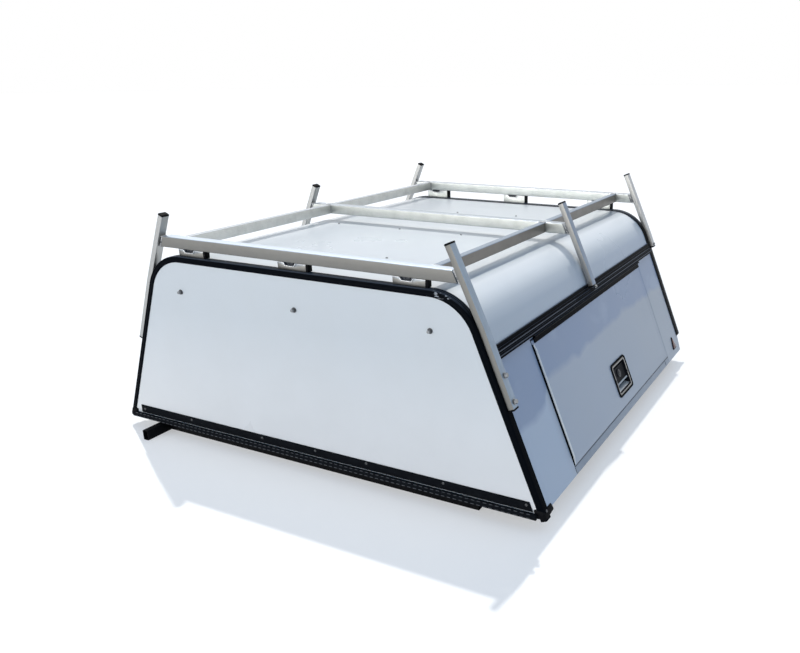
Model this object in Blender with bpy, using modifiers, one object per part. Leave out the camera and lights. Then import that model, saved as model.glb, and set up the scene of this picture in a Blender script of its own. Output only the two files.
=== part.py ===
"""Pickup truck canopy with side doors and a ladder rack, standing on its low steel stand.

Metres, +Z up. The origin lies under the middle of the canopy, on the floor. The front wall
faces -Y, and the side whose door opens faces +X. Below, y runs back from the front wall,
z up from the canopy's bottom edge, and on the leaning sides u runs up the slope from that
edge and n outwards from the outer skin.
"""

import math

import bmesh
import bpy
from mathutils import Vector

# Body
CAP_WIDTH = 1.698
CAP_LENGTH = 1.600
ROOF_HEIGHT_FRONT = 0.636
ROOF_HEIGHT_REAR = 0.614
SIDE_LEAN = math.radians(22.0)
SHOULDER_RADIUS = 0.164
SHOULDER_STEPS = 10
ROOF_SKIN = 0.003
WALL_THICKNESS = 0.022
CLEARANCE = 0.0003

# Side walls, measured up the slope. They end below the point where the shoulder begins to curve
# at the lower end of the roof.
SIDE_BOTTOM = 0.020
SIDE_TOP_DROP = 0.0546
REAR_CUTBACK = 0.040
REAR_CUTBACK_HEIGHT = 0.084

# Doorways and doors
FRONT_PANEL_WIDTH = 0.271
REAR_PANEL_WIDTH = 0.229
DOOR_BOTTOM = 0.0485
DOOR_HEADER_HEIGHT = 0.030
DOOR_GAP = 0.005
DOOR_THICKNESS = 0.020

# Drip rail and hinge
RAIL_REAR_MARGIN = 0.004
RAIL_LAP = 0.0175
RAIL_LOWER_HEIGHT = 0.019
RAIL_UPPER_HEIGHT = 0.0215
RAIL_UPPER_DEPTH = 0.005
RAIL_LOWER_DEPTH = 0.014
RAIL_BEAD_HEIGHT = 0.006
RAIL_BEAD_DEPTH = 0.003
RAIL_EASED_EDGE = 0.002
HINGE_RISE = 0.0075
HINGE_N = 0.0062
HINGE_RADIUS = 0.0045
LEAF_INSET = 0.016
LEAF_LAP = 0.012
LEAF_THICKNESS = 0.003

# Paddle latch
LATCH_OFFSET = 0.017
LATCH_RISE = 0.1005
LATCH_WIDTH = 0.146
LATCH_HEIGHT = 0.122
LATCH_CORNER = 0.012
CORNER_STEPS = 4
BEZEL_THICKNESS = 0.003
TRAY_WIDTH = 0.118
TRAY_HEIGHT = 0.094
TRAY_DEPTH = 0.026
TRAY_WALL = 0.002
PADDLE_GAP = 0.005
PADDLE_HEIGHT = 0.058
PADDLE_THICKNESS = 0.003
PADDLE_LIP = 0.009
PADDLE_PIN_RADIUS = 0.003
PIN_SIDES = 12
HINGE_SIDES = 16

# Edge trim, seal strip and bulb seal
TRIM_THICKNESS = 0.0025
TRIM_FACE_LEG = 0.0175
TRIM_SIDE_LEG = 0.027
REAR_TRIM_BOTTOM = 0.078
STRIP_BOTTOM = 0.020
STRIP_TOP = 0.0495
STRIP_MARGIN_RIGHT = 0.031
STRIP_MARGIN_LEFT = 0.039
STRIP_THICKNESS = 0.003
BULB_RADIUS = 0.0095
BULB_SIDES = 12

# Rear
REAR_FRAME_WIDTH = 0.045
REAR_DOOR_GAP = 0.004
REAR_LATCH_HEIGHT = 0.17
REAR_HINGE_INSET = 0.031
REAR_HINGE_TOP = 0.0325
REAR_HINGE_HEIGHT = 0.030
SILL_INSET = 0.043
SILL_LEDGE = 0.016

# Inside
BOW_SIZE = 0.025
BOW_PITCH = 0.460
BOW_SHIFT = -0.040
BOW_INSET = 0.021
BASE_RAIL_WIDTH = 0.066
BASE_RAIL_HEIGHT = 0.012

# Rack
RACK_TUBE_DEPTH = 0.038
RACK_TUBE_HEIGHT = 0.036
RACK_RISE_FRONT = 0.062
RACK_RISE_REAR = 0.071
FRONT_BAR_Y = 0.012
MIDDLE_BAR_SHIFT = 0.001
RACK_RAIL_WIDTH = 0.024
RACK_RAIL_INSET = 0.0711
UPRIGHT_THICKNESS = 0.019
UPRIGHT_DEPTH = 0.030
UPRIGHT_FORWARD = 0.006
UPRIGHT_TOP = 0.0705
UPRIGHT_TOP_REAR = 0.083
UPRIGHT_LEAN_IN = math.radians(2.2)
UPRIGHT_STAND_OFF = 0.0032
UPRIGHT_DROP_FRONT = 0.240
UPRIGHT_DROP_MIDDLE = 0.0605
UPRIGHT_DROP_REAR = 0.0596
UPRIGHT_REAR_INSET = 0.006
FOOT_LENGTH = 0.110
FOOT_DEPTH = 0.020
FOOT_INSET = 0.047
FOOT_SHIFT = -0.010
REAR_FOOT_LAP = 0.030

# Stand
STAND_TUBE = 0.025
STAND_HEIGHT = 0.038
STAND_INSET_LEFT = 0.154
STAND_INSET_RIGHT = 0.229
STAND_INSET_FRONT = 0.019
STAND_OVERHANG = 0.086

SLOPE = math.tan(SIDE_LEAN)
COS_LEAN = math.cos(SIDE_LEAN)
SIN_LEAN = math.sin(SIDE_LEAN)
HALF_WIDTH = CAP_WIDTH / 2
ROOF_LOWEST = min(ROOF_HEIGHT_FRONT, ROOF_HEIGHT_REAR)
SHOULDER_TANGENT = SHOULDER_RADIUS * math.tan((math.pi / 2 - SIDE_LEAN) / 2)
SIDE_TOP = ROOF_LOWEST / COS_LEAN - SHOULDER_TANGENT - SIDE_TOP_DROP
FLAT_HALF_WIDTH = HALF_WIDTH - SLOPE * max(ROOF_HEIGHT_FRONT, ROOF_HEIGHT_REAR) - SHOULDER_TANGENT
DOOR_FRONT = FRONT_PANEL_WIDTH
DOOR_REAR = CAP_LENGTH - REAR_PANEL_WIDTH
DOOR_MIDDLE = (DOOR_FRONT + DOOR_REAR) / 2
DOOR_TOP = SIDE_TOP - DOOR_HEADER_HEIGHT
FRONT_UPRIGHT_Y = FRONT_BAR_Y - UPRIGHT_FORWARD
RAIL_FRONT = FRONT_UPRIGHT_Y + UPRIGHT_DEPTH + CLEARANCE
RAIL_BOTTOM = SIDE_TOP - RAIL_LAP
RAIL_MIDDLE = RAIL_BOTTOM + RAIL_LOWER_HEIGHT
RAIL_TOP = RAIL_MIDDLE + RAIL_UPPER_HEIGHT
HINGE_U = DOOR_TOP + HINGE_RISE
LATCH_Y = DOOR_MIDDLE + LATCH_OFFSET
LATCH_U = DOOR_BOTTOM + LATCH_RISE
MIDDLE_BAR_Y = CAP_LENGTH / 2 + MIDDLE_BAR_SHIFT
REAR_BAR_Y = CAP_LENGTH + TRIM_THICKNESS + 2 * CLEARANCE


def clear_scene():
    for existing in list(bpy.data.objects):
        bpy.data.objects.remove(existing, do_unlink=True)


def make_collection(name):
    collection = bpy.data.collections.new(name)
    bpy.context.scene.collection.children.link(collection)
    return collection


def make_material(name, colour, roughness, metallic=0.0):
    material = bpy.data.materials.new(name)
    material.use_nodes = True
    shader = material.node_tree.nodes["Principled BSDF"]
    shader.inputs["Base Color"].default_value = (*colour, 1.0)
    shader.inputs["Roughness"].default_value = roughness
    shader.inputs["Metallic"].default_value = metallic
    material.diffuse_color = (*colour, 1.0)
    return material


clear_scene()
PARTS = make_collection("pickup_canopy")
CUTTERS = make_collection("cutters")
FINISHES = {
    "white": ((0.66, 0.69, 0.71), 0.28, 0.0),
    "trim": ((0.012, 0.013, 0.015), 0.45, 0.0),
    "rubber": ((0.018, 0.019, 0.021), 0.7, 0.0),
    "aluminium": ((0.60, 0.61, 0.62), 0.38, 1.0),
    "stainless": ((0.62, 0.61, 0.59), 0.22, 1.0),
    "latch": ((0.03, 0.03, 0.032), 0.4, 0.0),
    "stand": ((0.012, 0.012, 0.013), 0.5, 0.0),
}


def place(obj, name, finish, collection=None):
    obj.name = name
    obj.data.name = name
    (collection or PARTS).objects.link(obj)
    if finish:
        colour, roughness, metallic = FINISHES[finish]
        obj.data.materials.append(make_material(name, colour, roughness, metallic))
    return obj


def to_object(name, mesh_builder, finish, location=(0, 0, 0), turn=(0, 0, 0), collection=None):
    """Turns a bmesh into a named object. The mesh is written about the object's own origin."""
    bmesh.ops.recalc_face_normals(mesh_builder, faces=mesh_builder.faces)
    mesh = bpy.data.meshes.new(name)
    mesh_builder.to_mesh(mesh)
    mesh_builder.free()
    obj = place(bpy.data.objects.new(name, mesh), name, finish, collection)
    obj.location = location
    obj.rotation_euler = turn
    return obj


def box_mesh(low, high):
    low = Vector(low)
    size = Vector(high) - low
    mesh_builder = bmesh.new()
    bmesh.ops.create_cube(mesh_builder, size=1.0)
    bmesh.ops.scale(mesh_builder, vec=size, verts=mesh_builder.verts)
    bmesh.ops.translate(mesh_builder, vec=low + size / 2, verts=mesh_builder.verts)
    return mesh_builder


def prism_mesh(outline, start, depth):
    """A flat outline extruded by a vector from its starting points."""
    mesh_builder = bmesh.new()
    corners = [mesh_builder.verts.new(start(point)) for point in outline]
    face = mesh_builder.faces.new(corners)
    grown = bmesh.ops.extrude_face_region(mesh_builder, geom=[face])
    moved = [item for item in grown["geom"] if isinstance(item, bmesh.types.BMVert)]
    bmesh.ops.translate(mesh_builder, vec=depth, verts=moved)
    return mesh_builder


def rod_mesh(radius, length, along, sides):
    """A round bar about its own middle, along a given direction."""
    mesh_builder = bmesh.new()
    turn = Vector((0, 0, 1)).rotation_difference(along).to_matrix()
    bmesh.ops.create_cone(mesh_builder, cap_ends=True, segments=sides, radius1=radius,
                          radius2=radius, depth=length)
    bmesh.ops.rotate(mesh_builder, cent=(0, 0, 0), verts=mesh_builder.verts, matrix=turn)
    return mesh_builder


def rounded_outline(width, height, radius):
    """A rectangle about the origin with rounded corners."""
    points = []
    for quarter, (across, up) in enumerate(((1, 1), (-1, 1), (-1, -1), (1, -1))):
        for step in range(CORNER_STEPS + 1):
            angle = math.pi / 2 * (quarter + step / CORNER_STEPS)
            points.append((across * (width / 2 - radius) + radius * math.cos(angle),
                           up * (height / 2 - radius) + radius * math.sin(angle)))
    return points


def along_y(point):
    return Vector((point[0], 0.0, point[1]))


def along_x(point):
    return Vector((0.0, point[0], point[1]))


def world(x, y, z):
    """A point of the canopy's own frame, set on the stand with the origin under its middle."""
    return Vector((x, y - CAP_LENGTH / 2, z + STAND_HEIGHT))


def cut(target, cutter):
    modifier = target.modifiers.new("cut", "BOOLEAN")
    modifier.operation = "DIFFERENCE"
    modifier.object = cutter
    cutter.hide_render = True
    cutter.display_type = "WIRE"


def join(target, other):
    modifier = target.modifiers.new("join", "BOOLEAN")
    modifier.operation = "UNION"
    modifier.object = other
    other.hide_render = True
    other.display_type = "WIRE"


def shade_round(obj, angle=35.0):
    obj.data.shade_smooth()
    obj.data.set_sharp_from_angle(angle=math.radians(angle))


def arch_outline(roof_height, inset=0.0, bottom=0.0, lowest_u=None):
    """Half a cross-section of the canopy, up the right side and in to the middle, then the
    other half back down, moved inwards by an inset all round."""
    if lowest_u is not None:
        bottom = lowest_u * COS_LEAN
    radius = SHOULDER_RADIUS - inset
    roof = roof_height - inset
    corner_x = HALF_WIDTH - inset / COS_LEAN - SLOPE * roof
    centre_x = corner_x - radius * SHOULDER_TANGENT / SHOULDER_RADIUS
    centre_z = roof - radius
    right = [(HALF_WIDTH - inset / COS_LEAN - SLOPE * bottom, bottom)]
    for step in range(SHOULDER_STEPS + 1):
        angle = SIDE_LEAN + (math.pi / 2 - SIDE_LEAN) * step / SHOULDER_STEPS
        right.append((centre_x + radius * math.cos(angle), centre_z + radius * math.sin(angle)))
    return right + [(-x, z) for x, z in reversed(right)]


def shoulder_start(y):
    """How far up the slope the shoulder begins to curve."""
    return roof_height_at(y) / COS_LEAN - SHOULDER_TANGENT


def roof_height_at(y):
    return ROOF_HEIGHT_FRONT + (ROOF_HEIGHT_REAR - ROOF_HEIGHT_FRONT) * y / CAP_LENGTH


def rack_top_at(y):
    rise = RACK_RISE_FRONT + (RACK_RISE_REAR - RACK_RISE_FRONT) * y / CAP_LENGTH
    return roof_height_at(y) + rise


def solidify(obj, thickness, offset):
    modifier = obj.modifiers.new("thickness", "SOLIDIFY")
    modifier.thickness = thickness
    modifier.offset = offset
    modifier.use_even_offset = True


def swept_sheet(name, rows, finish, thickness):
    """An open sheet through rows of points, thickened inwards."""
    mesh_builder = bmesh.new()
    first = [mesh_builder.verts.new(world(*point)) for point in rows[0]]
    edges = [mesh_builder.edges.new(pair) for pair in zip(first, first[1:])]
    order = first
    for row in rows[1:]:
        grown = bmesh.ops.extrude_edge_only(mesh_builder, edges=edges)
        new_edges = [item for item in grown["geom"] if isinstance(item, bmesh.types.BMEdge)]
        partners = {}
        for vert in order:
            for edge in vert.link_edges:
                other = edge.other_vert(vert)
                if other not in order:
                    partners[vert] = other
        new_order = [partners[vert] for vert in order]
        for vert, point in zip(new_order, row):
            vert.co = world(*point)
        edges = [edge for edge in new_edges if all(vert in new_order for vert in edge.verts)]
        order = new_order
    obj = to_object(name, mesh_builder, finish)
    solidify(obj, thickness, 0.0)
    return obj


def make_roof():
    """The roof skin, bent down over both shoulders to the drip rails, falling to the rear."""
    rows = []
    for y in (0.0, CAP_LENGTH):
        outline = arch_outline(roof_height_at(y), ROOF_SKIN / 2, lowest_u=SIDE_TOP + CLEARANCE)
        rows.append([(x, y, z) for x, z in outline])
    shade_round(swept_sheet("roof_shell", rows, "white", ROOF_SKIN))
    half_length = FLAT_HALF_WIDTH - BOW_INSET
    for number in (1, 2, 3):
        y = CAP_LENGTH / 2 + BOW_SHIFT + (number - 2) * BOW_PITCH
        ends = (y - BOW_SIZE / 2, y + BOW_SIZE / 2)
        top = min(roof_height_at(end) for end in ends) - ROOF_SKIN - CLEARANCE
        low = (-half_length, -BOW_SIZE / 2, -BOW_SIZE)
        high = (half_length, BOW_SIZE / 2, 0.0)
        to_object(f"roof_bow_{number}", box_mesh(low, high), "aluminium", world(0, y, top))


def make_front():
    lowest = min(roof_height_at(y) for y in (0.0, WALL_THICKNESS))
    outline = arch_outline(lowest, ROOF_SKIN + CLEARANCE)
    wall = prism_mesh(outline, along_y, Vector((0, WALL_THICKNESS, 0)))
    to_object("front_wall", wall, "white", world(0, 0, 0))
    make_edge_trim("front_edge_trim", 0.0, 1.0, 0.0)

    low_end, high_end = [HALF_WIDTH - STRIP_MARGIN_RIGHT / COS_LEAN - SLOPE * z
                         for z in (STRIP_BOTTOM, STRIP_TOP)]
    left_end = SLOPE * STRIP_TOP + STRIP_MARGIN_LEFT / COS_LEAN - HALF_WIDTH
    strip = [(left_end, STRIP_BOTTOM), (low_end, STRIP_BOTTOM),
             (high_end, STRIP_TOP), (left_end, STRIP_TOP)]
    mesh_builder = prism_mesh(strip, along_y, Vector((0, -STRIP_THICKNESS, 0)))
    to_object("front_seal_strip", mesh_builder, "rubber", world(0, -CLEARANCE, 0))

    half_length = HALF_WIDTH - TRIM_FACE_LEG / COS_LEAN - 2 * CLEARANCE - SLOPE * STRIP_BOTTOM
    bulb = rod_mesh(BULB_RADIUS, 2 * half_length, Vector((1, 0, 0)), BULB_SIDES)
    centre = world(0, -CLEARANCE - BULB_RADIUS, STRIP_BOTTOM - CLEARANCE - BULB_RADIUS)
    shade_round(to_object("front_bulb_seal", bulb, "rubber", centre))


def make_edge_trim(name, y, inwards, bottom):
    """Angle trim round an end of the canopy: one leg on the end face and one on the outside."""
    half = TRIM_THICKNESS / 2
    roof_height = max(roof_height_at(end) for end in (y, y + inwards * TRIM_SIDE_LEG))
    outer = arch_outline(roof_height, -half - CLEARANCE, bottom)
    inner = arch_outline(roof_height, TRIM_FACE_LEG, bottom)
    face_y = y - inwards * (half + CLEARANCE)
    side_y = y + inwards * TRIM_SIDE_LEG
    rows = [
        [(x, side_y, z) for x, z in outer],
        [(x, face_y, z) for x, z in outer],
        [(x, face_y, z) for x, z in inner],
    ]
    shade_round(swept_sheet(name, rows, "trim", TRIM_THICKNESS))


def side_box(name, side, low, high, finish, origin=(0.0, 0.0, 0.0), collection=None):
    """A box on a leaning side. Corners are (n, y, u), and the origin is a point in them."""
    shift = Vector(origin)
    low = Vector(low) - shift
    high = Vector(high) - shift
    if side < 0:
        low.x, high.x = -high.x, -low.x
    mesh_builder = box_mesh(low, high)
    return to_object(name, mesh_builder, finish, side_point(side, *origin), side_turn(side), collection)


def side_point(side, n, y, u):
    x = HALF_WIDTH + n * COS_LEAN - u * SIN_LEAN
    return world(side * x, y, n * SIN_LEAN + u * COS_LEAN)


def side_turn(side):
    return (0.0, -side * SIDE_LEAN, 0.0)


def side_prism(name, side, outline, y_start, y_end, finish, origin=(0.0, 0.0, 0.0)):
    """An outline of (n, u) points extruded along the canopy, on a leaning side."""
    shifted = [(side * (n - origin[0]), u - origin[2]) for n, u in outline]
    mesh_builder = prism_mesh(shifted, along_y, Vector((0, y_end - y_start, 0)))
    bmesh.ops.translate(mesh_builder, vec=(0, y_start - origin[1], 0), verts=mesh_builder.verts)
    return to_object(name, mesh_builder, finish, side_point(side, *origin), side_turn(side))


def make_side(label, side):
    front = WALL_THICKNESS + CLEARANCE
    rear = CAP_LENGTH - WALL_THICKNESS - CLEARANCE
    opening_front = DOOR_FRONT - DOOR_GAP
    opening_rear = DOOR_REAR + DOOR_GAP
    inner = -WALL_THICKNESS
    side_box(f"{label}_front_panel", side, (inner, front, SIDE_BOTTOM),
             (0, opening_front, SIDE_TOP), "white")

    cutback = CAP_LENGTH - REAR_CUTBACK
    outline = [(opening_rear, SIDE_BOTTOM), (cutback, SIDE_BOTTOM), (rear, REAR_CUTBACK_HEIGHT),
               (rear, SIDE_TOP), (opening_rear, SIDE_TOP)]
    mesh_builder = prism_mesh(outline, along_x, Vector((-side * WALL_THICKNESS, 0, 0)))
    to_object(f"{label}_rear_panel", mesh_builder, "white", side_point(side, 0, 0, 0), side_turn(side))

    side_box(f"{label}_door_sill", side, (inner, opening_front + CLEARANCE, SIDE_BOTTOM),
             (0, opening_rear - CLEARANCE, DOOR_BOTTOM - DOOR_GAP), "white")
    side_box(f"{label}_door_header", side, (inner, opening_front + CLEARANCE, DOOR_TOP + DOOR_GAP),
             (0, opening_rear - CLEARANCE, SIDE_TOP), "white")
    make_base_rail(label, side)
    make_drip_rail(label, side)
    make_door(label, side)


def make_base_rail(label, side):
    """The flat rail along the inner bottom edge, which lies on a truck's bed rail."""
    def inner_face(z):
        return HALF_WIDTH - SLOPE * z - (WALL_THICKNESS + CLEARANCE) / COS_LEAN
    low = SIDE_BOTTOM * COS_LEAN
    high = low + BASE_RAIL_HEIGHT
    inside = inner_face(low) - BASE_RAIL_WIDTH
    outline = [(inside, low), (inner_face(low), low), (inner_face(high), high), (inside, high)]
    length = CAP_LENGTH - WALL_THICKNESS - SILL_INSET - WALL_THICKNESS - 2 * CLEARANCE
    mesh_builder = prism_mesh([(side * x, z) for x, z in outline], along_y, Vector((0, length, 0)))
    to_object(f"{label}_base_rail", mesh_builder, "aluminium", world(0, WALL_THICKNESS + CLEARANCE, 0))


def make_drip_rail(label, side):
    """Two steps: a flange on the shoulder above, and the gutter lip that carries the hinge."""
    bead_top = RAIL_BOTTOM + RAIL_BEAD_HEIGHT
    lip = RAIL_LOWER_DEPTH - RAIL_BEAD_DEPTH
    ease = RAIL_EASED_EDGE
    outline = [
        (CLEARANCE, RAIL_BOTTOM), (RAIL_LOWER_DEPTH, RAIL_BOTTOM),
        (RAIL_LOWER_DEPTH, bead_top), (lip, bead_top + ease),
        (lip, RAIL_MIDDLE - ease), (lip - ease, RAIL_MIDDLE),
        (RAIL_UPPER_DEPTH, RAIL_MIDDLE), (RAIL_UPPER_DEPTH, RAIL_TOP - ease),
        (RAIL_UPPER_DEPTH - ease, RAIL_TOP), (CLEARANCE, RAIL_TOP),
    ]
    side_prism(f"{label}_drip_rail", side, outline, RAIL_FRONT,
               CAP_LENGTH - TRIM_SIDE_LEG - RAIL_REAR_MARGIN, "trim")


def make_door(label, side):
    """A door panel whose origin lies on its hinge axis, with its hinge leaf and latch."""
    hinge = (HINGE_N, DOOR_MIDDLE, HINGE_U)
    leaf_front = DOOR_FRONT + LEAF_INSET
    door = side_box(f"{label}_door", side, (-DOOR_THICKNESS, DOOR_FRONT, DOOR_BOTTOM),
                    (0, DOOR_REAR, DOOR_TOP), "white", hinge)
    hole = TRAY_WIDTH / 2 + CLEARANCE
    rise = TRAY_HEIGHT / 2 + CLEARANCE
    cutter = side_box(f"{label}_latch_hole", side, (-2 * DOOR_THICKNESS, LATCH_Y - hole, LATCH_U - rise),
                      (DOOR_THICKNESS, LATCH_Y + hole, LATCH_U + rise), None, collection=CUTTERS)
    cut(door, cutter)

    leaf = side_box(f"{label}_hinge_leaf", side, (CLEARANCE, leaf_front, DOOR_TOP - LEAF_LAP),
                    (CLEARANCE + LEAF_THICKNESS, DOOR_REAR, HINGE_U), "trim", hinge)
    barrel = rod_mesh(HINGE_RADIUS, DOOR_REAR - leaf_front, Vector((0, 1, 0)), HINGE_SIDES)
    middle = side_point(side, HINGE_N, (DOOR_REAR + leaf_front) / 2, HINGE_U)
    tube = to_object(f"{label}_hinge_barrel", barrel, None, middle, side_turn(side), CUTTERS)
    join(leaf, tube)
    make_latch(label, side)


def make_latch(label, side):
    """A paddle latch: a bezel and tray let into the door, and the paddle hung in the tray."""
    back = BEZEL_THICKNESS + CLEARANCE
    outline = rounded_outline(LATCH_WIDTH, LATCH_HEIGHT, LATCH_CORNER)
    bezel = prism_mesh(outline, along_x, Vector((side * BEZEL_THICKNESS, 0, 0)))
    housing = to_object(f"{label}_latch_housing", bezel, "stainless",
                        side_point(side, CLEARANCE, LATCH_Y, LATCH_U), side_turn(side))
    tray = side_box(f"{label}_latch_tray", side,
                    (-TRAY_DEPTH, LATCH_Y - TRAY_WIDTH / 2, LATCH_U - TRAY_HEIGHT / 2),
                    (back - CLEARANCE, LATCH_Y + TRAY_WIDTH / 2, LATCH_U + TRAY_HEIGHT / 2),
                    None, collection=CUTTERS)
    inside_width = TRAY_WIDTH / 2 - TRAY_WALL
    inside_height = TRAY_HEIGHT / 2 - TRAY_WALL
    pocket = side_box(f"{label}_latch_pocket", side,
                      (-TRAY_DEPTH + TRAY_WALL, LATCH_Y - inside_width, LATCH_U - inside_height),
                      (2 * back, LATCH_Y + inside_width, LATCH_U + inside_height), None, collection=CUTTERS)
    join(housing, tray)
    cut(housing, pocket)

    top = LATCH_U + inside_height - PADDLE_GAP
    axis = (-PADDLE_PIN_RADIUS, LATCH_Y, top)
    half = inside_width - PADDLE_GAP
    paddle = side_box(f"{label}_latch_paddle", side,
                      (-PADDLE_THICKNESS, LATCH_Y - half, top - PADDLE_HEIGHT),
                      (0.0, LATCH_Y + half, top), "latch", axis)
    lip = side_box(f"{label}_paddle_lip", side,
                   (-PADDLE_LIP, LATCH_Y - half, top - PADDLE_HEIGHT),
                   (-PADDLE_THICKNESS / 2, LATCH_Y + half, top - PADDLE_HEIGHT + PADDLE_THICKNESS),
                   None, collection=CUTTERS)
    pin_mesh = rod_mesh(PADDLE_PIN_RADIUS, 2 * (inside_width - CLEARANCE), Vector((0, 1, 0)), PIN_SIDES)
    pin = to_object(f"{label}_paddle_pin", pin_mesh, None, side_point(side, *axis), side_turn(side), CUTTERS)
    join(paddle, lip)
    join(paddle, pin)


def make_rear():
    """Rear frame, the door panel in it, its latch, and the set-in sill that the tailgate meets."""
    rear_face = CAP_LENGTH
    lowest = min(roof_height_at(y) for y in (rear_face, rear_face - WALL_THICKNESS))
    outer = arch_outline(lowest, ROOF_SKIN + CLEARANCE, REAR_TRIM_BOTTOM)
    inner = arch_outline(lowest, REAR_FRAME_WIDTH, REAR_TRIM_BOTTOM)
    depth = Vector((0, -WALL_THICKNESS, 0))
    frame = prism_mesh(outer + inner[::-1], along_y, depth)
    to_object("rear_frame", frame, "white", world(0, rear_face, 0))

    outline = arch_outline(lowest, REAR_FRAME_WIDTH + REAR_DOOR_GAP,
                           REAR_TRIM_BOTTOM + REAR_DOOR_GAP)
    to_object("rear_door", prism_mesh(outline, along_y, depth), "white", world(0, rear_face, 0))
    make_edge_trim("rear_edge_trim", CAP_LENGTH, -1.0, REAR_TRIM_BOTTOM)

    sill_rear = rear_face - SILL_INSET
    sill_front = sill_rear - WALL_THICKNESS
    ledge_top = REAR_TRIM_BOTTOM - CLEARANCE
    ledge_bottom = ledge_top - SILL_LEDGE
    half = HALF_WIDTH - SLOPE * ledge_top - (WALL_THICKNESS + CLEARANCE) / COS_LEAN
    outline = [(sill_front, 0.0), (sill_rear, 0.0), (sill_rear, ledge_bottom),
               (rear_face, ledge_bottom), (rear_face, ledge_top), (sill_front, ledge_top)]
    sill = prism_mesh(outline, along_x, Vector((2 * half, 0, 0)))
    to_object("rear_sill", sill, "white", world(-half, 0, 0))

    half_length = FLAT_HALF_WIDTH - REAR_HINGE_INSET
    low = (-half_length, 0, -REAR_HINGE_HEIGHT)
    high = (half_length, LEAF_THICKNESS, 0)
    hinge_top = ROOF_HEIGHT_REAR - REAR_HINGE_TOP
    to_object("rear_hinge", box_mesh(low, high), "trim", world(0, rear_face + CLEARANCE, hinge_top))

    low = (-LATCH_WIDTH / 2, 0, -LATCH_HEIGHT / 2)
    high = (LATCH_WIDTH / 2, BEZEL_THICKNESS, LATCH_HEIGHT / 2)
    centre = world(0, rear_face + CLEARANCE, REAR_LATCH_HEIGHT)
    to_object("rear_latch", box_mesh(low, high), "stainless", centre)


def make_crossbars():
    """Three crossbars between the uprights, the two rails in each bay, and the feet."""
    bars = (("front", FRONT_BAR_Y), ("middle", MIDDLE_BAR_Y), ("rear", REAR_BAR_Y))
    for label, y in bars:
        top = rack_top_at(y)
        bottom = top - RACK_TUBE_HEIGHT
        high_end = upright_inner_x(top, label) - CLEARANCE
        low_end = upright_inner_x(bottom, label) - CLEARANCE
        outline = [(low_end, bottom), (high_end, top), (-high_end, top), (-low_end, bottom)]
        bar = prism_mesh(outline, along_y, Vector((0, RACK_TUBE_DEPTH, 0)))
        to_object(f"rack_{label}_crossbar", bar, "aluminium", world(0, y, 0))
        for side_label, side in (("right", 1), ("left", -1)):
            make_upright(f"rack_{side_label}_{label}_upright", side, label)
    for (label, start), (_, end) in zip(bars, bars[1:]):
        for side_label, side in (("right", 1), ("left", -1)):
            name = f"rack_{side_label}_{label}_rail"
            make_rack_rail(name, side, start + RACK_TUBE_DEPTH + CLEARANCE, end - CLEARANCE)
    outermost = rack_rail_inner() - FOOT_INSET
    for label, offset in (("left", -outermost), ("middle", 0.0), ("right", outermost)):
        place_x = offset + FOOT_SHIFT
        rest = max(roof_height_at(end) for end in (0.0, TRIM_SIDE_LEG)) + TRIM_THICKNESS + 2 * CLEARANCE
        make_foot(f"rack_front_{label}_foot", place_x, FRONT_BAR_Y, rest)
        make_foot(f"rack_rear_{label}_foot", place_x, REAR_BAR_Y, ROOF_HEIGHT_REAR - REAR_FOOT_LAP)


def rack_rail_inner():
    """How far from the middle the inner faces of the rack's rails lie."""
    return upright_inner_x(rack_top_at(FRONT_BAR_Y), "front") - RACK_RAIL_INSET - RACK_RAIL_WIDTH


def make_rack_rail(name, side, start, end):
    outline = []
    for y, drop in ((start, RACK_TUBE_HEIGHT), (end, RACK_TUBE_HEIGHT), (end, 0.0), (start, 0.0)):
        outline.append((y, rack_top_at(y) - drop))
    rail = prism_mesh(outline, along_x, Vector((side * RACK_RAIL_WIDTH, 0, 0)))
    to_object(name, rail, "aluminium", world(side * rack_rail_inner(), 0, 0))


def make_foot(name, x, y, bottom):
    top = rack_top_at(y) - RACK_TUBE_HEIGHT - CLEARANCE
    low = (-FOOT_LENGTH / 2, 0, bottom)
    high = (FOOT_LENGTH / 2, FOOT_DEPTH, top)
    to_object(name, box_mesh(low, high), "aluminium", world(x, y, 0))


# For each upright: its place along the canopy, how far it runs down the slope from the start of
# the shoulder, how far it stands off the skin, and its top above the rack.
UPRIGHTS = {
    "front": (FRONT_UPRIGHT_Y, UPRIGHT_DROP_FRONT, UPRIGHT_STAND_OFF, UPRIGHT_TOP),
    "middle": (MIDDLE_BAR_Y, UPRIGHT_DROP_MIDDLE, RAIL_UPPER_DEPTH + CLEARANCE, UPRIGHT_TOP),
    "rear": (REAR_BAR_Y, UPRIGHT_DROP_REAR, -UPRIGHT_REAR_INSET, UPRIGHT_TOP_REAR),
}


def upright_line(label):
    """Foot, bend and top of an upright's inner edge as (x, z)."""
    y, drop, stand_off, head = UPRIGHTS[label]
    bend = shoulder_start(min(y, CAP_LENGTH))
    points = []
    for u in (bend - drop, bend):
        points.append((HALF_WIDTH + stand_off * COS_LEAN - u * SIN_LEAN, stand_off * SIN_LEAN + u * COS_LEAN))
    rise = rack_top_at(y) + head - points[1][1]
    points.append((points[1][0] - rise * math.tan(SIDE_LEAN + UPRIGHT_LEAN_IN), points[1][1] + rise))
    return points


def upright_inner_x(z, label):
    _, bend, top = upright_line(label)
    share = (z - bend[1]) / (top[1] - bend[1])
    return bend[0] + (top[0] - bend[0]) * share


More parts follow.
